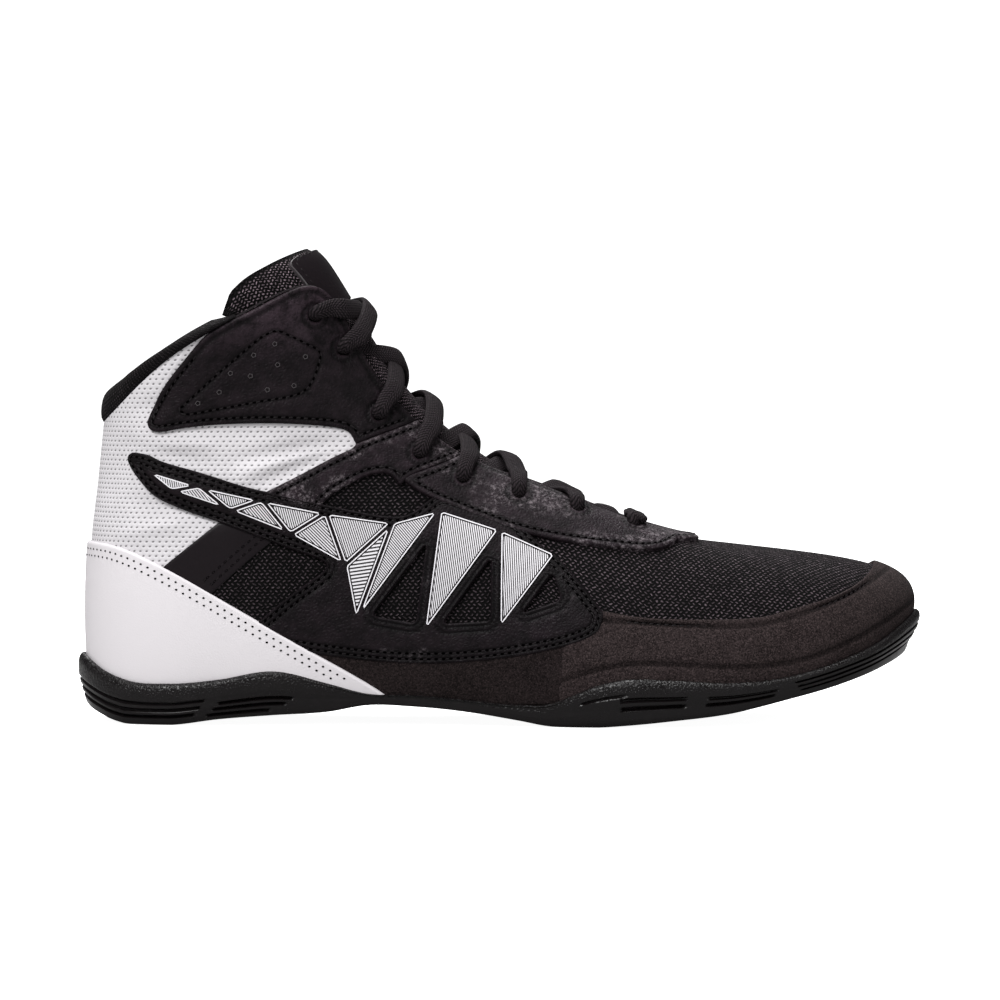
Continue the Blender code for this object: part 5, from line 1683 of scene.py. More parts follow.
def sewn(name, slot, seams):
    """The threads and the needle holes of several seams."""
    finished(f"{name}_stitches", joined([p for threads, _ in seams for p in threads]), slot, "thread")
    finished(f"{name}_needle_holes", joined([p for _, holes in seams for p in holes]), slot, "hole")


def seam_lines(lines, closed=False):
    """Side-view lines as points on both sides of the wall."""
    found = []
    for line in lines:
        at = even(outline(line, closed), EDGE_STEP / 2, closed)
        found += [skin(side_of(at[:, 0], side), at[:, 1]) for side in BOTH]
    return np.vstack(found)


def sewn_lines(lines, closed=False, both=False):
    """Side-view lines as lines of places, on the outer side or on both."""
    found = [even(outline(line, closed), 0.0007, closed) for line in lines]
    return found + [at * (-1, 1) for at in found] if both else found


def make_guards(sizes):
    toe = fill(half_loop(TOE_EDGE, 0.0, 0.004), step=0.0010, lines=sewn_lines(TOE_LINES, both=True))
    piece = laid(toe, OUTER, GUARD_FACE + 0.0002, seams=((seam_lines(TOE_LINES), 0.0008, 0.0008),))
    finished("toe_guard_suede", piece, "suede", "suede", replaces=("toe_guard",))
    side_guard = fill(outline(GUARD_OUTLINE))
    panel("side_guard_suede", "side_guard", "suede", "side_suede", side_guard, GUARD_FACE - 0.0002)
    low = GUARD_FACE - 0.0004
    sewn("guard", "suede", [line_seam(line, low, sizes, needle=GUARD_NEEDLE) for line in TOE_LINES])


# How far the counter's two rows of holes lie inside its top edge
COUNTER_ROWS = (0.0023, 0.0045)


def counter_face(at):
    """How high the counter lies: low at the heel, and over the side panels before it."""
    forward = np.clip((skin(*at.T)[:, 0] - place(0.16)) / 0.02, 0, 1)
    return PANEL_FACE + 0.0003 + (WEDGE_FACE - PANEL_FACE + 0.0001) * forward * forward * (3 - 2 * forward)


def make_counter():
    at = half_loop(COUNTER_TOP, 0.5, 0.004)
    filled = fill(at, step=0.0017, insets=(*EDGE_ROWS, 0.0017, 0.0034, 0.0058))
    grooves = [(inset, 0.0001, 0.0005) for inset in COUNTER_ROWS]
    piece = laid(filled, OUTER, counter_face(filled.at), soft=0.0007, grooves=grooves)
    finished("heel_counter_skin", piece, "white_synthetic", "counter", replaces=("heel_counter",))
    top = at[: 2 * len(rounded(metres(COUNTER_TOP), closed=False)) - 1]
    rows = []
    for inset, shift in zip(COUNTER_ROWS, (0.0, 0.5)):
        base = even(top, 0.0027, closed=False)
        base = base[:-1] + (base[1:] - base[:-1]) * shift
        row = beside(base, inset * inward(at), closed=False)
        fine = skin(*even(top, EDGE_STEP, closed=False).T)
        row = row[(row[:, 1] > 0.06) & (reach_from(skin(*row.T), fine) > inset * 0.93)]
        rows.append(holes_along(row, OUTER, counter_face(row) + 0.00012, 0.00034, 1.3))
    finished("counter_holes", joined(rows), "white_synthetic", "hole")


# How far each panel's seams lie inside its edge
OVERLAY_SEAM = 0.0020
EYESTAY_SEAM = 0.0021
PANEL_SEAMS = (0.0013, 0.0031)


def make_ankle(sizes):
    loops = rings_round(eyelet_places(), EYELET_RADIUS)
    at = outline(ANKLE_OUTLINE)
    filled = fill(at, insets=OVERLAY_ROWS, holes=inside_loops(at, loops),
                  lines=sewn_lines((SHIELD_LINE,), closed=True))
    panel("ankle_overlay_skin", "ankle_overlay", "black_synthetic", "synthetic", filled, STAY_FACE,
          grooves=((OVERLAY_SEAM, 0.0003, 0.0006),), puff=0.0003,
          seams=((seam_lines((SHIELD_LINE,), True), 0.0004, 0.0008),))
    sewn("ankle", "black_synthetic", [edge_seam(at, OVERLAY_SEAM, STAY_FACE, sizes),
                                      line_seam(SHIELD_LINE, STAY_FACE + 0.00015, sizes, closed=True)])
    dots = wall_places(metres(PINHOLES))
    holes = [holes_along(dots, side, STAY_FACE + 0.00044, 0.0007) for side in BOTH]
    finished("ankle_pinholes", joined(holes), "black_synthetic", "hole")
    # A pale ring round each pinhole: a painted highlight on its lip
    loops = rings_round(dots, 0.00078)
    glint_rims = [ribbon(loop, side, STAY_FACE + 0.00050, 0.00034, closed=True) for loop in loops for side in BOTH]
    finished("ankle_pinhole_rims", joined(glint_rims), "black_synthetic", "rim")


def make_stays(sizes):
    loops = rings_round(eyelet_places(), EYELET_RADIUS)
    at = outline(STAY_OUTLINE)
    filled = fill(at, insets=OVERLAY_ROWS, holes=inside_loops(at, loops))
    face = STAY_FACE + 0.0002
    panel("quarter_stay_skin", "quarter_stay", "black_synthetic", "worn_synthetic", filled, face,
          grooves=((OVERLAY_SEAM, 0.0002, 0.0005),))
    seams = [edge_seam(at, OVERLAY_SEAM, face, sizes)]
    ring = half_loop(EYESTAY_EDGE, 0.0, 1.0)
    both = loops + [loop[::-1] * (-1, 1) for loop in loops]
    filled = fill(ring, insets=(*EDGE_ROWS, 0.0016, 0.0021, 0.0026, 0.0032), holes=inside_loops(ring, both))
    piece = laid(filled, OUTER, EYESTAY_FACE, grooves=((EYESTAY_SEAM, 0.0002, 0.0005),))
    finished("eyestay_skin", piece, "black_synthetic", "worn_synthetic", replaces=("eyestay",))
    seams.append(edge_seam(ring, EYESTAY_SEAM, EYESTAY_FACE, sizes, sides=(OUTER,)))
    sewn("stay", "black_synthetic", seams)


WINDOW_CELLS = (4, 5, 6)
WINDOW_MARGIN = 0.0030
FILM_MARGIN = 0.0013
LINE_MARGIN = 0.0007


def shrunk(corners, margin):
    """A triangle of side-view points drawn in from its sides by a margin."""
    lengths = np.linalg.norm(np.roll(corners, -1, axis=0) - np.roll(corners, 1, axis=0), axis=1)
    centre = (corners * lengths[:, None]).sum(0) / lengths.sum()
    (ax, ay), (bx, by) = corners[1] - corners[0], corners[2] - corners[0]
    radius = abs(ax * by - ay * bx) / lengths.sum()
    return centre + (corners - centre) * (1 - min(margin / radius, 0.45))


def lattice_cells():
    """The lattice's triangles in side-view metres, each with its place in the row: standing or hanging."""
    upper = metres(LATTICE_UPPER)
    lower = metres(LATTICE_LOWER)
    cells = []
    for i in range(len(upper) - 1):
        cells.append((i, "hanging", np.array([upper[i], lower[i], upper[i + 1]])))
        cells.append((i, "standing", np.array([lower[i], upper[i + 1], lower[i + 1]])))
    return cells


def lattice_windows():
    """Openings through the side panel in the lattice's large standing cells, as loops of places."""
    return [wall_places(rounded(densified(shrunk(corners, WINDOW_MARGIN), 0.004), cuts=2))
            for i, kind, corners in lattice_cells() if kind == "standing" and i in WINDOW_CELLS]


def make_lattice():
    """A row of hatched silver triangles on the side panel, with white lines round them."""
    film, lines = [], []
    for i, kind, corners in lattice_cells():
        if kind == "standing" and i in WINDOW_CELLS:
            continue
        at = wall_places(rounded(densified(shrunk(corners, FILM_MARGIN), 0.002), cuts=1))
        edge = wall_places(rounded(densified(shrunk(corners, LINE_MARGIN), 0.002), cuts=1))
        filled = fill(at, step=0.003, insets=())
        rail = corners[2] - corners[0]
        rail = rail / np.linalg.norm(rail)
        if kind == "standing":
            rail = np.array([rail[0], -rail[1]]) * (1, 0.6)
        for side in BOTH:
            piece = laid(filled, side, WEDGE_FACE + 0.00018, thick=0.0001)
            view = piece.points[:, [0, 2]]
            piece.cloth[:, 0] = view @ rail
            piece.cloth[:, 1] = view @ np.array([-rail[1], rail[0]])
            film.append(piece)
            lines.append(ribbon(edge, side, WEDGE_FACE + 0.0002, 0.0004, closed=True))
    finished("lattice_film", joined(film), "black_synthetic", "film")
    finished("lattice_lines", joined(lines), "black_synthetic", "print")


def densified(corners, pitch):
    """A closed polygon with points at even steps along its sides."""
    line = []
    for start, end in zip(corners, np.roll(corners, -1, axis=0)):
        count = max(2, int(np.linalg.norm(end - start) / pitch))
        line += [start + (end - start) * k / count for k in range(count)]
    return np.array(line)


def make_side_panels(sizes):
    smooth = outline(SMOOTH_OUTLINE)
    panel("smooth_panel", None, "black_synthetic", "smooth_panel", fill(smooth), SMOOTH_FACE)
    at = outline(WEDGE_OUTLINE)
    windows = lattice_windows()
    filled = fill(at, insets=(0.00022, 0.0005, 0.0009, 0.0013, 0.0017, 0.0022, 0.0027, 0.0031, 0.0035),
                  holes=[even(window, EDGE_STEP) for window in windows])
    panel("side_panel_skin", "side_panel", "black_synthetic", "panel", filled, WEDGE_FACE,
          grooves=[(inset, 0.0003, 0.0004) for inset in PANEL_SEAMS])
    seams = [edge_seam(at, inset, WEDGE_FACE - 0.0001, sizes) for inset in PANEL_SEAMS]
    seams += [line_seam(line, SMOOTH_FACE, sizes) for line in SMOOTH_LINES]
    seams += [edge_seam(window, -0.0016, WEDGE_FACE, sizes) for window in windows]
    sewn("panel", "black_synthetic", seams)
    make_lattice()


COLLAR_TURNS = 44
COLLAR_COLUMNS = 240
COLLAR_TIP = 0.192


def make_collar():
    ends = np.linspace(RIB_AT["top_corner"], RIB_AT["heel"], DENSE)
    start = float(np.interp(-place(COLLAR_TIP), -EDGE_LOOP(ends)[:, 0], ends))
    around = np.linspace(start, 1 - start, COLLAR_COLUMNS)
    full = np.clip((np.minimum(around, 1 - around) - start) / (collar_start() - start), 0, 1)[:, None]
    full = full * 0.6 + 0.4
    edge = surface(around, np.ones_like(around))
    normal = skin_normal(around, np.ones_like(around))
    rise = unit(edge - skin(around, np.full_like(around, 0.97)))
    tall = collar_rise(around)[:, None] * full
    rows = []
    for out, up in COLLAR_SECTION:
        height = GAP + up * tall if up >= 0 else np.full_like(tall, up * COLLAR_TUCK)
        rows.append(edge + normal * out * COLLAR_PAD * full + rise * height)
    seat = -WALL - GAP
    rows.append(edge + normal * (seat - GAP) - rise * COLLAR_TUCK * 0.4)
    rows.append(edge + normal * seat + rise * GAP)
    rows = np.array(rows)
    steps = np.linalg.norm(np.roll(rows, -1, axis=0) - rows, axis=-1).mean(1)
    knots = np.concatenate([[0], np.cumsum(steps)[:-1]]) / steps.sum()
    turns = np.arange(COLLAR_TURNS) / COLLAR_TURNS
    ring = loop_spline(knots, rows.reshape(len(rows), -1))(turns).reshape(COLLAR_TURNS, COLLAR_COLUMNS, 3)
    run = run_along(edge)
    cloth = np.zeros_like(ring)
    cloth[..., 0] = run[None, :]
    cloth[..., 1] = (turns * steps.sum())[:, None]
    cloth[..., 2] = CLOTH_FAR
    ring = ring.transpose(1, 0, 2)
    points = ring.reshape(-1, 3)
    faces = grid_faces(COLLAR_COLUMNS, COLLAR_TURNS, around=True)
    faces += end_caps(len(points), COLLAR_TURNS)
    piece = facing_out(Piece(points, faces, cloth.transpose(1, 0, 2).reshape(-1, 3)))
    made = finished("collar_roll", piece, "black_mesh", "collar_mesh", replaces=("collar",), smooth=70)


def end_caps(total, ring):
    """The first and the last ring of a tube's points as faces."""
    return [tuple(range(ring))[::-1], tuple(range(total - ring, total))]


def facing_out(piece):
    """The closed piece with its faces turned so that it holds a positive volume."""
    volume = 0.0
    for face in piece.faces:
        a = piece.points[face[0]]
        for i in range(1, len(face) - 1):
            volume += np.dot(a, np.cross(piece.points[face[i]], piece.points[face[i + 1]]))
    return piece if volume > 0 else Piece(piece.points, [f[::-1] for f in piece.faces], piece.cloth)


def finer(grid, count):
    """The grid's rows read at count even places along a smooth curve through them."""
    last = len(grid) - 1
    slopes = np.gradient(grid, axis=0)
    at = np.linspace(0, last, count)
    i = np.minimum(at.astype(int), last - 1)
    u = (at - i)[:, None, None]
    return (
        grid[i] * (1 + 2 * u) * (1 - u) ** 2
        + slopes[i] * u * (1 - u) ** 2
        + grid[i + 1] * u * u * (3 - 2 * u)
        + slopes[i + 1] * u * u * (u - 1)
    )


TONGUE_FINE_ROWS = 130
TONGUE_FINE_COLUMNS = 73


def tongue_grids():
    """Outer and inner faces of the tongue as grids, stations by turns across it."""
    stations = np.linspace(0, len(TONGUE_ROWS) - 1, TONGUE_STEPS)
    turns = np.linspace(-math.pi / 2, math.pi / 2, TONGUE_COLUMNS + 1)
    station, turn = np.meshgrid(stations, turns, indexing="ij")
    outer = tongue_face(station, turn)
    for _ in range(TONGUE_EASINGS):
        eased = outer.copy()
        eased[1:-1, 1:-1] = (
            outer[1:-1, 1:-1] * 2 + outer[:-2, 1:-1] + outer[2:, 1:-1] + outer[1:-1, :-2] + outer[1:-1, 2:]
        ) / 6
        outer = seated(eased)
    middle = np.cos(turn) ** 0.5 * np.minimum(1, (stations[-1] - station) / 0.5 + 0.3)
    thick = TONGUE_EDGE + (TONGUE - TONGUE_EDGE) * np.clip(middle, 0, 1)
    inner = outer - grid_normals(outer) * thick[..., None]
    return outer, inner


def fine_tongue():
    """The tongue's outer and inner faces as fine grids, with soft padding, and its outer normals."""
    outer, inner = (
        finer(finer(grid, TONGUE_FINE_ROWS).transpose(1, 0, 2), TONGUE_FINE_COLUMNS).transpose(1, 0, 2)
        for grid in tongue_grids()
    )
    normal = grid_normals(outer)
    across = np.linspace(-1, 1, TONGUE_FINE_COLUMNS)[None, :]
    down = np.linspace(0, 1, TONGUE_FINE_ROWS)[:, None]
    pad = np.clip((1 - np.abs(across)) / 0.16, 0, 1) * np.clip((1 - down) / 0.04, 0, 1)
    pad = pad * pad * (3 - 2 * pad)
    outer = outer + normal * (pad * 0.0006)[..., None]
    return outer, inner, normal


def make_tongue(sizes):
    outer, inner, normal = fine_tongue()
    rows, columns = outer.shape[:2]
    ring = np.concatenate([outer, inner[:, ::-1]], axis=1)
    count = ring.shape[1]
    points = ring.reshape(-1, 3)
    faces = grid_faces(rows, count, around=True)
    run = run_along(outer[:, columns // 2])
    wide = run_along(outer[rows // 2])
    cloth = np.zeros_like(ring)
    cloth[..., 0] = run[:, None]
    cloth[..., 1] = np.concatenate([wide, wide[::-1]])[None, :]
    edge = np.minimum(run[-1] - run[:, None], np.minimum(wide, wide[-1] - wide)[None, :])
    cloth[..., 2] = np.concatenate([edge, edge], axis=1)
    for r in (0, rows - 1):
        for i in range(columns - 1):
            face = (r * count + i, r * count + i + 1, r * count + count - 2 - i, r * count + count - 1 - i)
            faces.append(face if r == 0 else face[::-1])
    piece = facing_out(Piece(points, faces, cloth.reshape(-1, 3)))
    made = finished("tongue_pad", piece, "black_mesh", "tongue_mesh", replaces=("tongue",), smooth=60)
    make_label(outer, normal, sizes)


def facing_up(piece, way):
    """The open piece with its faces turned towards a way out."""
    corners = np.array([face[:3] for face in piece.faces])
    a, b, c = (piece.points[corners[:, k]] for k in range(3))
    total = (np.cross(b - a, c - a) * way).sum()
    return piece if total > 0 else Piece(piece.points, [f[::-1] for f in piece.faces], piece.cloth)


# The label's place on the tongue's grid: shares down the tongue and across it from its middle.
LABEL_DOWN = (0.765, 0.965)
LABEL_ACROSS = 0.52
LABEL_CORNER = 0.34
LABEL_ROWS = 48
LABEL_COLUMNS = 56
LABEL_SIDE = 90
# The label's edge line: shares of the label that its rows lie in from the edge, and their heights
LABEL_LINE = ((-0.012, 0.0001), (-0.004, 0.0011), (0.014, 0.0012), (0.022, 0.0010))
LABEL_SEAM = 0.10
LABEL_THREAD = 0.00115


def on_grid(grid, down, across):
    """Points of a grid at shares down and across it, across running from -1 to 1."""
    r = np.clip(down * (grid.shape[0] - 1), 0, grid.shape[0] - 1.001)
    c = np.clip((across + 1) / 2 * (grid.shape[1] - 1), 0, grid.shape[1] - 1.001)
    i, j = r.astype(int), c.astype(int)
    u, v = (r - i)[..., None], (c - j)[..., None]
    return (
        grid[i, j] * (1 - u) * (1 - v) + grid[i + 1, j] * u * (1 - v)
        + grid[i, j + 1] * (1 - u) * v + grid[i + 1, j + 1] * u * v
    )


def label_place(down, across, inset=0.0):
    """Places on the tongue of shares of the label, -1 to 1 each way, its corners soft."""
    full = 1 - inset
    corner = np.maximum(np.abs(down) - (1 - LABEL_CORNER), 0) / LABEL_CORNER
    narrow = 1 - LABEL_CORNER * 0.8 * (1 - np.sqrt(np.maximum(1 - corner**2, 0)))
    middle = sum(LABEL_DOWN) / 2
    half = (LABEL_DOWN[1] - LABEL_DOWN[0]) / 2
    return middle + half * down * full, across * narrow * LABEL_ACROSS * full


def make_label(outer, normal, sizes):
    """The bare patch on the tongue's top, with its pale edge line and its stitches."""
    rows, columns = (np.linspace(-1, 1, count) for count in (LABEL_ROWS, LABEL_COLUMNS))
    down, across = np.meshgrid(rows, columns, indexing="ij")
    way = normal[-20, TONGUE_FINE_COLUMNS // 2]
    at = label_place(down, across)
    near = np.clip(np.minimum(1 - np.abs(down), 1 - np.abs(across)) / 0.05, 0, 1)
    lift = 0.0003 + 0.0008 * np.sqrt(1 - (1 - near) ** 2)
    face = on_grid(outer, *at) + on_grid(normal, *at) * lift[..., None]
    points = face.reshape(-1, 3)
    cloth = np.stack([at[0].ravel() * 0.2, at[1].ravel() * 0.05, near.ravel() * 0.01], -1)
    piece = Piece(points, grid_faces(LABEL_ROWS, LABEL_COLUMNS), cloth)
    finished("tongue_patch", facing_up(piece, way), "black_synthetic", "smooth_panel",
             replaces=("tongue_label",))
    turns = np.concatenate([
        np.stack([np.linspace(-1, 1, LABEL_SIDE), np.full(LABEL_SIDE, side)], -1)[:: int(side)]
        for side in (1.0, -1.0)
    ])
    rows = []
    for inset, rise in LABEL_LINE:
        at = label_place(*turns.T, inset)
        rows.append(on_grid(outer, *at) + on_grid(normal, *at) * rise)
    points = np.vstack(rows)
    edge = Piece(points, grid_faces(4, len(turns), around=True), np.zeros_like(points))
    finished("patch_line", facing_up(edge, way), "black_synthetic", "rim")
    ring = label_place(*turns.T, LABEL_SEAM)
    line = on_grid(outer, *ring)
    run = run_along(line)
    stations = np.arange(0, run[-1], sizes.stitch_length + sizes.stitch_gap)
    down, across = (np.interp(stations, run, part) for part in ring)
    up = on_grid(normal, down, across)
    row = stitch_row(on_grid(outer, down, across) + up * LABEL_THREAD, up, sizes)
    finished("patch_stitches", row, "black_synthetic", "thread")


LACE_TURNS = 14
LACE_FINE = 0.0007
HOLE_WIDTH = 0.0046
HOLE_THICK = 0.0032


def lace_nodes(sizes):
    """The lace's two strands and its first bar: rows of point, way out, width and thickness."""
    places = eyelet_places()
    top = EYESTAY_FACE + sizes.lace_thick / 2 + 0.0002
    under = -WALL - sizes.lace_thick / 2
    wide, thick = sizes.lace_width, sizes.lace_thick

    def eyelet(i, side):
        around, up = places[i]
        at = side_of(around, side)
        normal = skin_normal(at, up)
        way = skin(at, min(up + 0.02, 1)) - skin(at, up - 0.01)
        return at, up, normal, way / np.linalg.norm(way)

    def crown_at(i, j):
        middle = (skin(*places[i]) + skin(*places[j])) / 2 * (1, 0, 1)
        return crown_near(middle)

    def over_edge(i, side, crown, lift):
        at, up, _, _ = eyelet(i, side)
        tries = at + np.linspace(-EDGE_REACH, EDGE_REACH, DENSE)
        edge = EDGE_LOOP(tries)
        length = np.linalg.norm(edge - skin(at, up), axis=1) + np.linalg.norm(edge - crown, axis=1)
        over = tries[int(np.argmin(length))]
        half = ((at + over) / 2, (up + 1) / 2)
        return [(surface(*half, lift), skin_normal(*half), wide * 0.82, thick * 1.15),
                (surface(over, 1.0, lift), skin_normal(over, 1.0), wide, thick)]

    def out_of_hole(i, side):
        at, up, normal, way = eyelet(i, side)
        high = EYESTAY_FACE + 0.0011
        return [(surface(at, up, -WALL - 0.0014), -way, HOLE_WIDTH, HOLE_THICK),
                (surface(at, up, 0.0006), -way + normal * 0.1, HOLE_WIDTH, HOLE_THICK),
                (surface(at, up, high) + way * 0.0010, normal - way * 0.6, HOLE_WIDTH * 1.15, HOLE_THICK)]

    strands = []
    for start in BOTH:
        nodes = []
        side = start
        for i, crossing in enumerate(CROSSINGS):
            crown, out = crown_at(i, i + 1)
            along = np.cross((0, 1, 0), out)
            if i == 0:
                at, up, normal, _ = eyelet(0, side)
                nodes += [(surface(at, up, under - 0.0006), normal, wide * 0.7, thick)]
                nodes += over_edge(0, side, crown, under)
            else:
                nodes += out_of_hole(i, side) + over_edge(i, side, crown, top)
            high = sizes.lace_thick * (1.75 if start == OUTER else 0.62) + crossing.proud
            roll = math.radians(crossing.roll) * start
            tilt = out * math.cos(roll) + along * math.sin(roll)
            nodes.append((crown + out * high + along * crossing.along * start, tilt, wide, thick))
            last = i == len(CROSSINGS) - 1
            if last:
                nodes += over_edge(i + 1, -side, crown, top)[::-1] + out_of_hole(i + 1, -side)[::-1]
            else:
                nodes += over_edge(i + 1, -side, crown, under)[::-1]
            side = -side
        strands.append(nodes)
    crown, out = crown_at(0, 0)
    bar = out_of_hole(0, OUTER) + over_edge(0, OUTER, crown, top)
    bar.append((crown + out * (sizes.lace_thick * 2.2), out, wide, thick))
    bar += over_edge(0, INNER, crown, top)[::-1] + out_of_hole(0, INNER)[::-1]
    strands.append(bar)
    return strands


def lace_tube(nodes):
    """A soft flat tube through nodes, with cloth coordinates along and across it."""
    points = np.array([n[0] for n in nodes])
    ups = np.array([n[1] for n in nodes])
    sizes = np.array([[n[2], n[3]] for n in nodes])
    run = np.append(0, np.cumsum(np.sqrt(np.linalg.norm(np.diff(points, axis=0), axis=1))))
    stations = []
    for a, b, p, q in zip(run, run[1:], points, points[1:]):
        count = max(2, int(np.linalg.norm(q - p) / LACE_FINE))
        stations += list(np.linspace(a, b, count, endpoint=False))
    stations = np.array(stations + [run[-1]])
    line = np.stack([soft_line(run, points[:, k])(stations) for k in range(3)], -1)
    up = np.stack([np.interp(stations, run, ups[:, k]) for k in range(3)], -1)
    size = np.stack([np.interp(stations, run, sizes[:, k]) for k in range(2)], -1)
    along = unit(np.gradient(line, axis=0))
    across = unit(np.cross(along, up))
    out = np.cross(across, along)
    turns = np.linspace(0, math.tau, LACE_TURNS, endpoint=False)
    wave = squarer(np.cos(turns), 0.75)
    rise = squarer(np.sin(turns), 0.8)
    length = run_along(line)
    ring = (line[:, None] + across[:, None] * (wave[None, :, None] * size[:, :1, None] / 2)
            + out[:, None] * (rise[None, :, None] * size[:, 1:, None] / 2))
    cloth = np.zeros_like(ring)
    cloth[..., 0] = length[:, None]
    cloth[..., 1] = wave[None, :] * size[:, :1] / 2
    points = ring.reshape(-1, 3)
    faces = grid_faces(len(line), LACE_TURNS, around=True)
    faces += end_caps(len(points), LACE_TURNS)
    return facing_out(Piece(points, faces, cloth.reshape(-1, 3)))


def make_laces(sizes):
    piece = joined([lace_tube(nodes) for nodes in lace_nodes(sizes)])
    finished("woven_lace", piece, "lace", "lace", replaces=("laces",), smooth=70)


def make_insole():
    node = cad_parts["insole"]
    node.material_slots[0].material = material("insole_cloth")


# Metres across the picture at the shoe, and the camera's sensor in millimetres
PHOTO_SPAN = 0.34
SENSOR = 36.0


FLOOR_REACH = 5.0
FLOOR_BACK = 2.8
BACKDROP_BEND = 1.0
BACKDROP_HEIGHT = 4.0
FLOOR_SHARE = 0.4
FLOOR_GLOW = 1.07

# Name, place and size of each light, in metres, and its share of the key light's power.
Light = namedtuple("Light", "name spot size power")
LIGHTS = [Light(*row) for row in (
    ("key", (-0.9, -1.5, 1.4), 0.7, 1.0),
    ("fill", (1.6, -1.5, 0.8), 1.0, 0.22),
    ("top", (-0.1, 0.0, 1.9), 0.9, 0.8),
    ("back", (-0.3, 1.5, 1.7), 1.2, 0.6),
)]
LIGHT_AIM = Vector((0, 0, 0.06))


def add_object(name, data):
    """A new object in the scene."""
    made = bpy.data.objects.new(name, data)
    bpy.context.scene.collection.objects.link(made)
    return made


def camera_seen(tree):
    """1 where the camera looks straight at a face, 0 for the light that it throws on others."""
    return tree.nodes.new("ShaderNodeLightPath").outputs["Is Camera Ray"]


def make_floor(view):
    """The floor, bent up into a backdrop. It's pale to the camera and throws less light back at the shoe."""
    profile = [(-FLOOR_REACH, 0.0), (FLOOR_BACK, 0.0)]
    profile += [(FLOOR_BACK + math.sin(t) * BACKDROP_BEND, (1.0 - math.cos(t)) * BACKDROP_BEND)
                for t in np.linspace(0.1, math.pi / 2, 12)]
    profile += [(FLOOR_BACK + BACKDROP_BEND, BACKDROP_HEIGHT)]
    points = [(x, y, z) for y, z in profile for x in (-FLOOR_REACH, FLOOR_REACH)]
    mesh = bpy.data.meshes.new("studio_floor")
    mesh.from_pydata(points, [], [(2 * i, 2 * i + 1, 2 * i + 3, 2 * i + 2) for i in range(len(profile) - 1)])
    mesh.shade_smooth()
    made, tree, shader = new_material("pale floor")
    seen = camera_seen(tree)
    pale = tuple(view.floor_colour)
    settle(tree, shader, blended(tree, seen, shade(pale, FLOOR_SHARE), pale), 0.9, Specular_IOR_Level=0.0)
    joint(tree, blended(tree, seen, (0.0, 0.0, 0.0), pale), shader.inputs["Emission Color"])
    shader.inputs["Emission Strength"].default_value = FLOOR_GLOW
    mesh.materials.append(made)
    add_object("studio_floor", mesh)


def make_lights(view):
    """The even light all round and the four lamps."""
    world = bpy.data.worlds.new("studio")
    world.use_nodes = True
    bpy.context.scene.world = world
    tree = world.node_tree
    sky = blended(tree, camera_seen(tree), (view.surround,) * 3, (1.0, 1.0, 1.0))
    joint(tree, sky, tree.nodes["Background"].inputs["Color"])
    for row in LIGHTS:
        data = bpy.data.lights.new(row.name, "AREA")
        data.size = row.size
        data.energy = view.key_power * row.power
        light = add_object(row.name, data)
        light.location = row.spot
        light.rotation_euler = (LIGHT_AIM - Vector(row.spot)).to_track_quat("-Z", "Y").to_euler()


def make_stage(view):
    """The floor and backdrop, the lights and the camera."""
    make_floor(view)
    make_lights(view)
    data = bpy.data.cameras.new("camera")
    data.lens = view.lens
    data.sensor_width = SENSOR
    camera = add_object("camera", data)
    away = view.lens * PHOTO_SPAN / SENSOR
    camera.location = (0, -away * math.cos(view.elevation), view.middle + away * math.sin(view.elevation))
    camera.rotation_euler = (math.pi / 2 - view.elevation, 0, 0)
    bpy.context.scene.camera = camera
    bpy.context.scene.view_settings.view_transform = "Standard"


def length(label, text, default):
    """A length that the user can set, in metres."""
    return bpy.props.FloatProperty(name=label, description=text, default=default, min=0.0, unit="LENGTH",
                                   precision=5)


def tint(label, text, default):
    """A colour that the user can set."""
    return bpy.props.FloatVectorProperty(name=label, description=text, default=default, size=3, min=0, max=1,
                                         subtype="COLOR")


class ShoeSizes(bpy.types.PropertyGroup):
    """Sizes of the shoe's thread and lace."""

    stitch_length: length("Stitch length", "Length of one stitch", 0.0019)
    stitch_gap: length("Stitch gap", "Gap between two stitches", 0.0006)
    stitch_width: length("Thread width", "Width of the sewing thread", 0.00046)
    lace_width: length("Lace width", "Width of the lace where it lies flat", 0.0072)
    lace_thick: length("Lace thickness", "Thickness of the lace where it lies flat", 0.0024)


class ShoeColours(bpy.types.PropertyGroup):
    """Colours of the shoe's materials."""

    rubber: tint("Rubber", "Outsole", lit(13, 10, 11))
    mesh: tint("Mesh", "Black sports mesh", lit(24, 20, 22))
    suede: tint("Suede", "Toe and side guards", lit(37, 31, 31))
    synthetic: tint("Synthetic", "Overlays and stays", lit(19, 14, 17))
    thread: tint("Thread", "Sewing thread", lit(22, 18, 20))
    # The rubbed places' colour, also used for the pale painted highlight round the pinholes
    wear_and_glint: tint("Wear", "Rubbed places of the black overlays", lit(118, 110, 114))
    quarter: tint("Quarter", "White punched quarter", lit(204, 201, 204))
    counter: tint("Counter", "Smooth white heel counter", lit(210, 206, 209))
    silver: tint("Silver", "Printed film on the side panel", lit(214, 212, 216))
    lace: tint("Lace", "Woven lace", lit(22, 18, 20))


class ShoeView(bpy.types.PropertyGroup):
    """The studio round the shoe."""

    lens: bpy.props.FloatProperty(name="Lens", description="Focal length in millimetres", default=200.0)
    elevation: bpy.props.FloatProperty(name="Elevation", description="Camera's height as an angle",
                                       default=math.radians(1.5), subtype="ANGLE")
    middle: length("Aim height", "Height that the camera is aimed at", 0.0748)
    surround: bpy.props.FloatProperty(name="Surround", description="Strength of the studio's even light",
                                      default=0.16)
    key_power: bpy.props.FloatProperty(name="Key power", description="Power of the main light in watts",
                                       default=46.0)
    floor_colour: tint("Floor", "Floor and backdrop", (0.9, 0.9, 0.9))


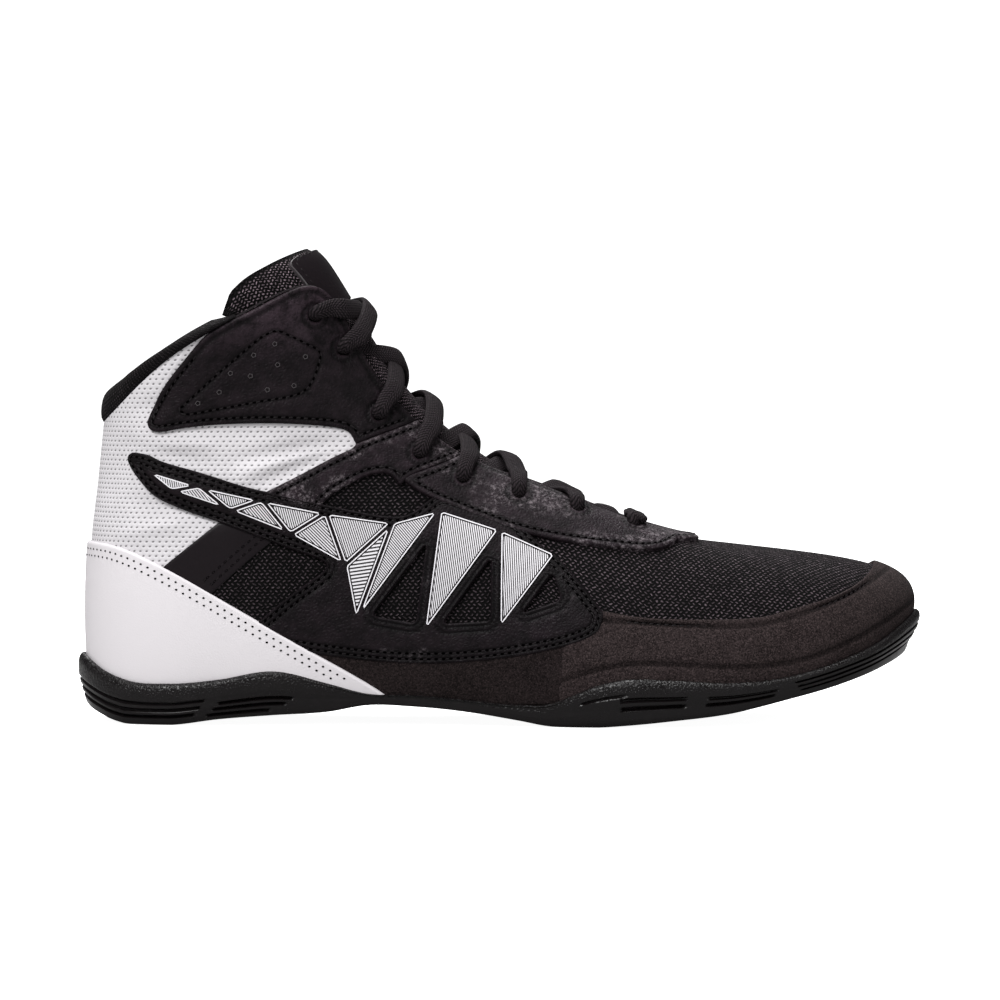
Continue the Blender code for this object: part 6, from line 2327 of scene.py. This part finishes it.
class SHOE_OT_stage(bpy.types.Operator):
    """Adds the floor, the lights and the camera."""

    bl_idname = "shoe.stage"
    bl_label = "Stage"

    def execute(self, context):
        make_stage(context.scene.shoe_view)
        return {"FINISHED"}


class SHOE_OT_outsole(bpy.types.Operator):
    """Builds the rubber sole with its side flutes and lugs."""

    bl_idname = "shoe.outsole"
    bl_label = "Outsole"

    def execute(self, context):
        make_outsole()
        return {"FINISHED"}


class SHOE_OT_insole(bpy.types.Operator):
    """Finishes the insole as cloth."""

    bl_idname = "shoe.insole"
    bl_label = "Insole"

    def execute(self, context):
        make_insole()
        return {"FINISHED"}


class SHOE_OT_upper(bpy.types.Operator):
    """Builds the mesh vamp, the punched quarter and the lining."""

    bl_idname = "shoe.upper"
    bl_label = "Upper"

    def execute(self, context):
        make_upper()
        return {"FINISHED"}


class SHOE_OT_guards(bpy.types.Operator):
    """Builds the suede toe guard and side guards."""

    bl_idname = "shoe.guards"
    bl_label = "Guards"

    def execute(self, context):
        make_guards(context.scene.shoe_sizes)
        return {"FINISHED"}


class SHOE_OT_counter(bpy.types.Operator):
    """Builds the smooth white heel counter."""

    bl_idname = "shoe.counter"
    bl_label = "Heel counter"

    def execute(self, context):
        make_counter()
        return {"FINISHED"}


class SHOE_OT_side_panels(bpy.types.Operator):
    """Builds the side panels and their lattice."""

    bl_idname = "shoe.side_panels"
    bl_label = "Side panels"

    def execute(self, context):
        make_side_panels(context.scene.shoe_sizes)
        return {"FINISHED"}


class SHOE_OT_ankle(bpy.types.Operator):
    """Builds the ankle overlays, their stitches and pinholes."""

    bl_idname = "shoe.ankle"
    bl_label = "Ankle overlays"

    def execute(self, context):
        make_ankle(context.scene.shoe_sizes)
        return {"FINISHED"}


class SHOE_OT_stays(bpy.types.Operator):
    """Builds the quarter stays and the eyestay."""

    bl_idname = "shoe.stays"
    bl_label = "Stays"

    def execute(self, context):
        make_stays(context.scene.shoe_sizes)
        return {"FINISHED"}


class SHOE_OT_collar(bpy.types.Operator):
    """Builds the padded collar roll."""

    bl_idname = "shoe.collar"
    bl_label = "Collar"

    def execute(self, context):
        make_collar()
        return {"FINISHED"}


class SHOE_OT_tongue(bpy.types.Operator):
    """Builds the padded tongue and its bare patch."""

    bl_idname = "shoe.tongue"
    bl_label = "Tongue"

    def execute(self, context):
        make_tongue(context.scene.shoe_sizes)
        return {"FINISHED"}


class SHOE_OT_laces(bpy.types.Operator):
    """Runs the woven lace through the eyelets."""

    bl_idname = "shoe.laces"
    bl_label = "Laces"

    def execute(self, context):
        make_laces(context.scene.shoe_sizes)
        return {"FINISHED"}


PIECES = (
    SHOE_OT_stage, SHOE_OT_outsole, SHOE_OT_insole, SHOE_OT_upper, SHOE_OT_guards, SHOE_OT_counter,
    SHOE_OT_side_panels, SHOE_OT_ankle, SHOE_OT_stays, SHOE_OT_collar, SHOE_OT_tongue, SHOE_OT_laces,
)


class SHOE_PT_pieces(bpy.types.Panel):
    """Lists the shoe's pieces, sizes and colours."""

    bl_idname = "SHOE_PT_pieces"
    bl_label = "Wrestling Shoe"
    bl_space_type = "VIEW_3D"
    bl_region_type = "UI"
    bl_category = "Shoe"

    def draw(self, context):
        for group in (context.scene.shoe_sizes, context.scene.shoe_colours, context.scene.shoe_view):
            for field in group.__annotations__:
                self.layout.prop(group, field)
        for operator in PIECES:
            self.layout.operator(operator.bl_idname)


CLASSES = (ShoeSizes, ShoeColours, ShoeView, *PIECES, SHOE_PT_pieces)


def register():
    for entry in CLASSES:
        bpy.utils.register_class(entry)
    bpy.types.Scene.shoe_sizes = bpy.props.PointerProperty(type=ShoeSizes)
    bpy.types.Scene.shoe_colours = bpy.props.PointerProperty(type=ShoeColours)
    bpy.types.Scene.shoe_view = bpy.props.PointerProperty(type=ShoeView)


def unregister():
    for field in ("shoe_view", "shoe_colours", "shoe_sizes"):
        delattr(bpy.types.Scene, field)
    for entry in reversed(CLASSES):
        bpy.utils.unregister_class(entry)


def main():
    register()
    for operator in PIECES:
        getattr(bpy.ops.shoe, operator.bl_idname.split(".")[1])()


if __name__ == "__main__":
    main()
